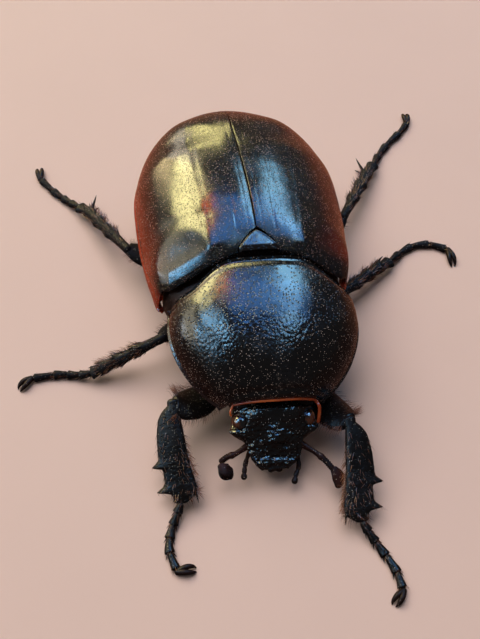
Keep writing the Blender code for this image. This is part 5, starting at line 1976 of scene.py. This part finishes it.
        if self.digs:
            stand(0.84, 180.0, half * 0.9, 0.6, 1.7, 0.22)
            return copies
        if top[2] < 0.0:
            top = -top
        for share, turns in ((0.3, (60, 150)), (0.41, range(-30, 181, 30)), (0.56, (10, 100, 190)),
                             (0.72, range(-35, 206, 30)), (0.98, range(-90, 181, 30))):
            for turn in turns:
                stand(share, turn, high * 0.85, 0.42 if turn > 100 else 0.3, 0.62, 0.15)
        for turn, reach in ((160, 1.5), (205, 1.25)):
            stand(1.0, turn, high * 0.6, SPUR_RISE[self.pair], reach, 0.24)
        return copies

    def build_tibia(self, horn: Horn, material: Material) -> None:
        """Model the shin with its knee ball and spines."""
        shin = model_tube(f"shin_{self.label}", self.tibia_rings(), Carrier.FLOOR)
        refine(shin)
        roughen(shin, 0.26, 0.05)
        half, high = TIBIA_SIZE[self.pair]
        knee = np.array(self.knee)
        back = unit(knee - np.array(self.ankle))
        width = half * (0.42 if self.digs else 0.78)
        stations = [(*(knee + back * 0.35), width, high * 0.85), (*(knee - back * 0.35), width, high * 0.85)]
        ball = model_tube("knee", limb_rings(stations, 16, 4, (0.8, 0.8)), Carrier.FLOOR)
        piece = join_pieces(f"shin_{self.label}", [shin, ball, *self.spines(horn)])
        hand_over(piece, "leg", material, f"tibia_{self.label}")

    def route(self) -> Points:
        """Middle line of the foot."""
        ankle, first = np.array(self.ankle), np.array(self.foot[0])
        start = ankle + unit(first - ankle) * 0.1
        return spline([start, *self.foot], 12)

    def foot_rings(self) -> Points:
        """Rings of the foot's beaded joints."""
        route = self.route()
        total = len(route) - 1
        profile = ((0.02, 0.5), (0.12, 0.62), (0.45, 0.76), (0.75, 0.92), (0.9, 1.0), (0.96, 0.92),
                   (0.99, 0.6))
        stations = []
        for joint in range(self.tarsomeres):
            last = joint == self.tarsomeres - 1
            spread = self.foot_half * (1.55 if joint == 0 and not self.digs else 1.0)
            for part, wide in profile:
                place = (joint + part) / self.tarsomeres * total
                point = np.array([np.interp(place, np.arange(total + 1), route[:, k]) for k in range(3)])
                wide = wide * 0.8 + 0.12 if last else wide
                high = self.foot_height * (0.72 + 0.28 * wide) * min(1.0, 0.4 + wide)
                stations.append((*point, spread * wide, high))
        return limb_rings(stations, 16, 2, (0.35, 0.4))

    def build_tarsus(self, horn: Horn, material: Material) -> None:
        """Model the foot, flat where it lies on the floor, with a pair of spines under each joint."""
        foot = model_tube(f"foot_{self.label}", self.foot_rings(), Carrier.FLOOR)
        route = self.route()
        total = len(route) - 1
        spines = []
        for joint in range(1, self.tarsomeres):
            place = joint / self.tarsomeres * total
            low = int(place)
            point = placed(route[low] * (1 - place + low) + route[low + 1] * (place - low), FLOOR_SHIFT)
            ahead = unit(route[low + 1] - route[low])
            aside = unit(np.cross(ahead, UP))
            for way in (-1.0, 1.0):
                base = point + aside * way * self.foot_half * 0.6 - UP * 0.12
                tip = base + aside * way * 0.3 + ahead * 0.42 - UP * 0.12
                spines.append(horn.copy(base, tip, 0.08, ahead))
        piece = join_pieces(f"foot_{self.label}", [foot, *spines])
        self.lay_flat(piece)
        hand_over(piece, "leg", material, f"tarsus_{self.label}")

    def build_claws(self, material: Material) -> None:
        """Model the two curved claws and the short prong between them."""
        root = np.array(self.foot[-1])
        ahead = unit(root - np.array(self.foot[-2]))
        start = root + ahead * 0.3
        tip_way = np.array(self.claw) - root
        tip_way[2] = 0.0
        across = np.cross(unit(tip_way), UP)
        solids = []
        for spread in (-1, 1):
            tip = np.array(self.claw) + across * spread * 0.2
            tip[2] = 0.06
            middle = start * 0.55 + tip * 0.45 + across * spread * 0.16 + UP * 0.4
            near_tip = middle * 0.35 + tip * 0.65 + across * spread * 0.08 + UP * 0.14
            stations = [(*start, 0.34, 0.34), (*middle, 0.3, 0.3), (*near_tip, 0.2, 0.2), (*tip, 0.04, 0.04)]
            solids.append(model_tube("claw", limb_rings(stations, 14, 6, (0.8, 0.5)), Carrier.FLOOR))
        prong = [(*start, 0.14, 0.14), (*(start + unit(tip_way) * 0.7), 0.08, 0.08)]
        solids.append(model_tube("prong", limb_rings(prong, 10, 5), Carrier.FLOOR))
        piece = join_pieces(f"claw_pair_{self.label}", solids)
        refine(piece)
        self.lay_flat(piece)
        hand_over(piece, "claw", material, f"claws_{self.label}")

    @staticmethod
    def lay_flat(piece: Piece) -> None:
        """Lay every point that would sink below the floor on it."""
        points = points_of(piece)
        points[:, 2] = np.maximum(points[:, 2], 0.0)
        set_points(piece, points)


class Legs:
    """All six legs, in the stance of a beetle that walks."""

    def __init__(self) -> None:
        """Set out the six legs."""
        z, near = FOOT_Z, FOOT_Z + 0.1
        right, left = Side.RIGHT, Side.LEFT
        self.all = (
            Leg(Pair.FRONT, right, (-9.6, -7.4, 5.35), (-9.8, -16.4, 1.5),
                ((-10.4, -17.5, 0.9), (-11.1, -18.9, z), (-11.45, -20.7, z), (-10.95, -22.7, z)),
                (-9.0, -22.9, 0.3), (-1.0, 0.0, -0.15), 0),
            Leg(Pair.FRONT, left, (8.0, -11.5, 5.3), (7.9, -20.6, 1.5),
                ((8.55, -21.8, 0.9), (9.35, -23.2, z), (10.35, -25.4, z), (10.65, -27.3, z)),
                (9.5, -28.8, 0.3), (1.0, 0.0, -0.15), 1),
            Leg(Pair.MIDDLE, right, (-10.2, 1.1, 4.7), (-16.9, 0.0, 1.6),
                ((-18.4, -0.2, 1.05), (-20.1, 0.15, near), (-21.8, 0.45, z), (-24.4, 0.35, z)),
                (-26.1, -0.8, 0.3), (-0.35, -1.0, 0.1), 2),
            Leg(Pair.MIDDLE, left, (10.4, 5.3, 3.3), (16.3, 9.8, 1.6),
                ((17.9, 10.8, 1.05), (19.4, 12.1, near), (21.2, 13.1, z), (23.4, 13.2, z), (25.3, 12.3, z)),
                (25.7, 9.8, 0.3), (0.35, -1.0, 0.1), 3),
            Leg(Pair.HIND, right, (-13.05, 14.05, 4.25), (-17.35, 22.2, 1.55),
                ((-18.8, 23.7, 1.05), (-20.0, 25.1, near), (-21.4, 26.6, z), (-23.1, 28.9, z)),
                (-23.4, 31.2, 0.3), (-1.0, -0.45, 0.1), 4),
            Leg(Pair.HIND, left, (13.2, 16.6, 3.3), (17.9, 24.35, 1.55),
                ((19.2, 26.2, 1.05), (20.3, 28.0, near), (21.8, 29.8, z), (23.9, 31.7, z), (25.3, 33.2, z)),
                (25.6, 35.4, 0.3), (1.0, -0.45, 0.1), 5),
        )

    def build(self, horn: Horn, wardrobe: Wardrobe) -> None:
        """Build every leg."""
        for leg in self.all:
            leg.build(horn, wardrobe)

    def build_hairs(self, wardrobe: Wardrobe) -> None:
        """Grow the bristles of thighs, shins and feet."""
        coat = Coat("leg_bristles", SEED)
        for leg in self.all:
            front = leg.digs
            rim = 0.0 if leg.side is Side.RIGHT else 0.5
            inner = (0.46, 0.54) if front else (rim - 0.09, rim + 0.12)
            thigh, shin = leg.femur_rings(), leg.tibia_rings()
            fringe = {"count": 130 if front else 60, "standing": 0.75, "droop": 0.1}
            ahead, behind = (1.15, 1.0) if front else (0.6, 0.6)
            tufts = (
                (thigh, Tuft((0.12, 0.95), (-0.06, 0.06), length=ahead, **fringe)),
                (thigh, Tuft((0.12, 0.95), (0.44, 0.56), length=behind, **fringe)),
                (shin, Tuft((0.08, 0.97), (0.0, 1.0), 210, 0.55, standing=0.4)),
                (shin, Tuft((0.2, 0.95), inner, 150, 0.8 if front else 0.75, 0.026, 0.62)),
                (leg.foot_rings(), Tuft((0.05, 0.97), (0.0, 1.0), 120, 0.42, 0.016, 0.4)),
            )
            for row, (rings, tuft) in enumerate(tufts):
                coat.grow(rings, tuft, (leg.tile, row))
        for points in coat.vertices:
            points[..., 2] = np.maximum(points[..., 2], 0.02)
        coat.build(wardrobe.bristle, "leg")


# ---------------------------------------------------------------- stage

class Layer(Enum):
    """The part of a surface's look that a light adds to."""

    MATT = "matt"
    GLOSS = "gloss"


@dataclass
class Softbox:
    """One large soft light: where it stands, seen from the beetle, and how big and bright it is."""

    name: str
    azimuth: float
    elevation: float
    distance: float
    size: tuple[float, float]
    power: float
    colour: tuple[float, float, float]
    flat: bool = False
    spin: float = 0.0
    shape: str = "RECTANGLE"
    lights: Layer = Layer.GLOSS

    def build(self) -> None:
        """Hang the light, facing the beetle, or straight down if it is flat."""
        way = way_to(self.azimuth, self.elevation)
        data = bpy.data.lights.new(self.name, "AREA")
        data.shape = self.shape
        data.size, data.size_y = self.size
        data.energy = self.power
        data.color = self.colour
        lamp = bpy.data.objects.new(self.name, data)
        lamp.location = way * self.distance
        level = Vector((0.0, 0.0, math.radians(self.spin)))
        lamp.rotation_euler = level if self.flat else way.to_track_quat("Z", "Y").to_euler()
        lamp.visible_camera = False
        lamp.visible_diffuse = self.lights is Layer.MATT
        lamp.visible_glossy = self.lights is Layer.GLOSS
        bpy.context.scene.collection.objects.link(lamp)


@dataclass
class Studio:
    """Floor, lights and camera."""

    floor_colour: Colour = (0.88, 0.64, 0.56, 1.0)
    floor_half: float = 3.0
    target: Place = (-1.537, -1.466, 6.0)
    azimuth: float = -9.5
    elevation: float = 57.5
    roll: float = 2.2
    distance: float = 97.0
    sensor: float = 36.0
    lens: float = 50.7042
    room_glow: Colour = (0.07, 0.068, 0.07, 1.0)
    ground_glow: Colour = (0.07, 0.036, 0.03, 1.0)
    rear_ground_glow: Colour = (0.38, 0.14, 0.075, 1.0)

    softboxes: tuple[Softbox, ...] = (
        Softbox("key_light", -150.0, 62.0, 1.2, (1.2, 1.2), 14.0, (1.0, 0.95, 0.90),
                lights=Layer.MATT),
        Softbox("sky_light", 146.0, 63.4, 0.559, (0.54, 0.25), 2.45, (0.09, 0.36, 1.0), flat=True),
        Softbox("bright_sky", 143.0, 44.1, 0.718, (0.22, 0.56), 3.5, (0.32, 0.7, 1.0), flat=True,
                spin=-22.0, shape="ELLIPSE"),
        Softbox("right_sky", 99.9, 65.0, 0.552, (0.12, 0.20), 0.53, (0.32, 0.66, 1.0), flat=True,
                shape="ELLIPSE"),
        Softbox("front_sky", -99.0, 54.5, 0.5, (0.16, 0.14), 1.1, (0.28, 0.64, 1.0)),
        Softbox("side_sky", -84.0, 31.0, 0.5, (0.12, 0.09), 0.6, (0.22, 0.60, 1.0)),
        Softbox("rim_light", -100.0, 6.0, 0.5, (0.12, 0.06), 0.14, (0.9, 0.95, 1.0)),
        Softbox("window_light", -140.5, 37.0, 0.55, (0.25, 0.24), 3.9, (1.0, 0.87, 0.38)),
        Softbox("low_window", -143.0, 11.0, 0.55, (0.16, 0.20), 0.8, (1.0, 0.76, 0.38)),
        Softbox("haze_light", -157.0, 21.0, 0.55, (0.14, 0.28), 0.6, (1.0, 0.86, 0.66)),
        Softbox("rear_window", -177.0, 21.0, 0.55, (0.19, 0.13), 0.85, (1.0, 0.87, 0.34)),
        Softbox("olive_light", -103.0, 21.0, 0.55, (0.34, 0.25), 0.85, (1.0, 0.91, 0.68)),
        Softbox("evening_light", -151.0, 55.0, 0.5, (0.08, 0.055), 0.17, (1.0, 0.15, 0.02)),
    )

    def build(self) -> None:
        """Build the floor, the lights, the surroundings' glow and the camera."""
        self.build_floor()
        for softbox in self.softboxes:
            softbox.build()
        world = bpy.data.worlds.new("pale_room")
        world.use_nodes = True
        board = Board(world.node_tree)
        background = world.node_tree.nodes["Background"]
        height = board.add("ShaderNodeSeparateXYZ")
        board.put(height.inputs[0], board.add("ShaderNodeTexCoord").outputs["Generated"])
        share = board.remap(height.outputs["Z"], -0.06, 0.02)
        rear = board.remap(height.outputs["Y"], 0.0, 0.8)
        ground = board.mix(rear, self.ground_glow, self.rear_ground_glow)
        board.feed(background, Color=board.mix(share, ground, self.room_glow), Strength=1.0)
        bpy.context.scene.world = world
        bpy.context.scene.view_settings.view_transform = "Standard"
        self.build_camera()

    def build_floor(self) -> None:
        """Lay a plain pale floor."""
        deselect()
        bpy.ops.mesh.primitive_plane_add(size=2.0 * self.floor_half)
        floor = christen(bpy.context.object, "studio_floor")
        material, board, shader, place = start_finish("pale_floor")
        clouds = board.add("ShaderNodeTexNoise")
        board.feed(clouds, Vector=place, Scale=60.0, Detail=4.0)
        tint = tuple(channel * 0.94 for channel in self.floor_colour[:3]) + (1.0,)
        board.feed(shader, Base_Color=board.mix(clouds.outputs[0], self.floor_colour, tint))
        board.feed(shader, Roughness=0.85)
        floor.data.materials.append(material)
        floor.visible_glossy = False

    def build_camera(self) -> None:
        """Set the camera at its viewing angle, a little rolled."""
        swing, roll = math.radians(self.azimuth), math.radians(self.roll)
        back = way_to(self.azimuth, self.elevation)
        right = Vector((math.cos(swing), math.sin(swing), 0.0))
        up = back.cross(right)
        leaning = right * math.cos(roll) + up * math.sin(roll)
        upright = up * math.cos(roll) - right * math.sin(roll)
        data = bpy.data.cameras.new("camera")
        data.sensor_width = self.sensor
        data.lens = self.lens
        data.clip_start = 0.005
        camera = bpy.data.objects.new("camera", data)
        turn = Matrix((leaning, upright, back)).transposed().to_4x4()
        camera.matrix_world = Matrix.Translation((Vector(self.target) + back * self.distance) * MM) @ turn
        bpy.context.scene.collection.objects.link(camera)
        bpy.context.scene.camera = camera


# ---------------------------------------------------------------- the beetle


def main() -> None:
    """Build the studio, then each sub-assembly of the beetle."""
    logging.basicConfig(level=logging.INFO, format="%(message)s")
    Studio().build()
    wardrobe = Wardrobe()
    horn = Horn()
    cases = WingCases()
    for side in Side:
        cases.build(side, wardrobe.wing_case)
    Scutellum().build(cases, wardrobe.scutellum)
    head, prothorax, body = Head(), Prothorax(), HindBody()
    prothorax.build_pronotum(wardrobe.pronotum)
    prothorax.build_collar(wardrobe.membrane)
    prothorax.build_underside(wardrobe.underside)
    prothorax.build_neck(head, wardrobe.underside)
    body.build_thorax(wardrobe.underside)
    body.build_abdomen(wardrobe.underside)
    body.build_tail(wardrobe.underside)
    head.build(horn, wardrobe.head)
    mouth, antennae = Mouth(), Antennae()
    mouth.build_lip(wardrobe.mouth)
    for side in Side:
        head.build_eye(side, wardrobe.eye)
        mouth.build_jaw(side, wardrobe.mouth)
        mouth.build_palp(side, wardrobe.mouth)
        antennae.build_stalk(side, wardrobe.antenna)
        antennae.build_club(side, wardrobe.antenna)
    legs = Legs()
    legs.build(horn, wardrobe)
    legs.build_hairs(wardrobe)
    horn.put_away()


if __name__ == "__main__":
    main()
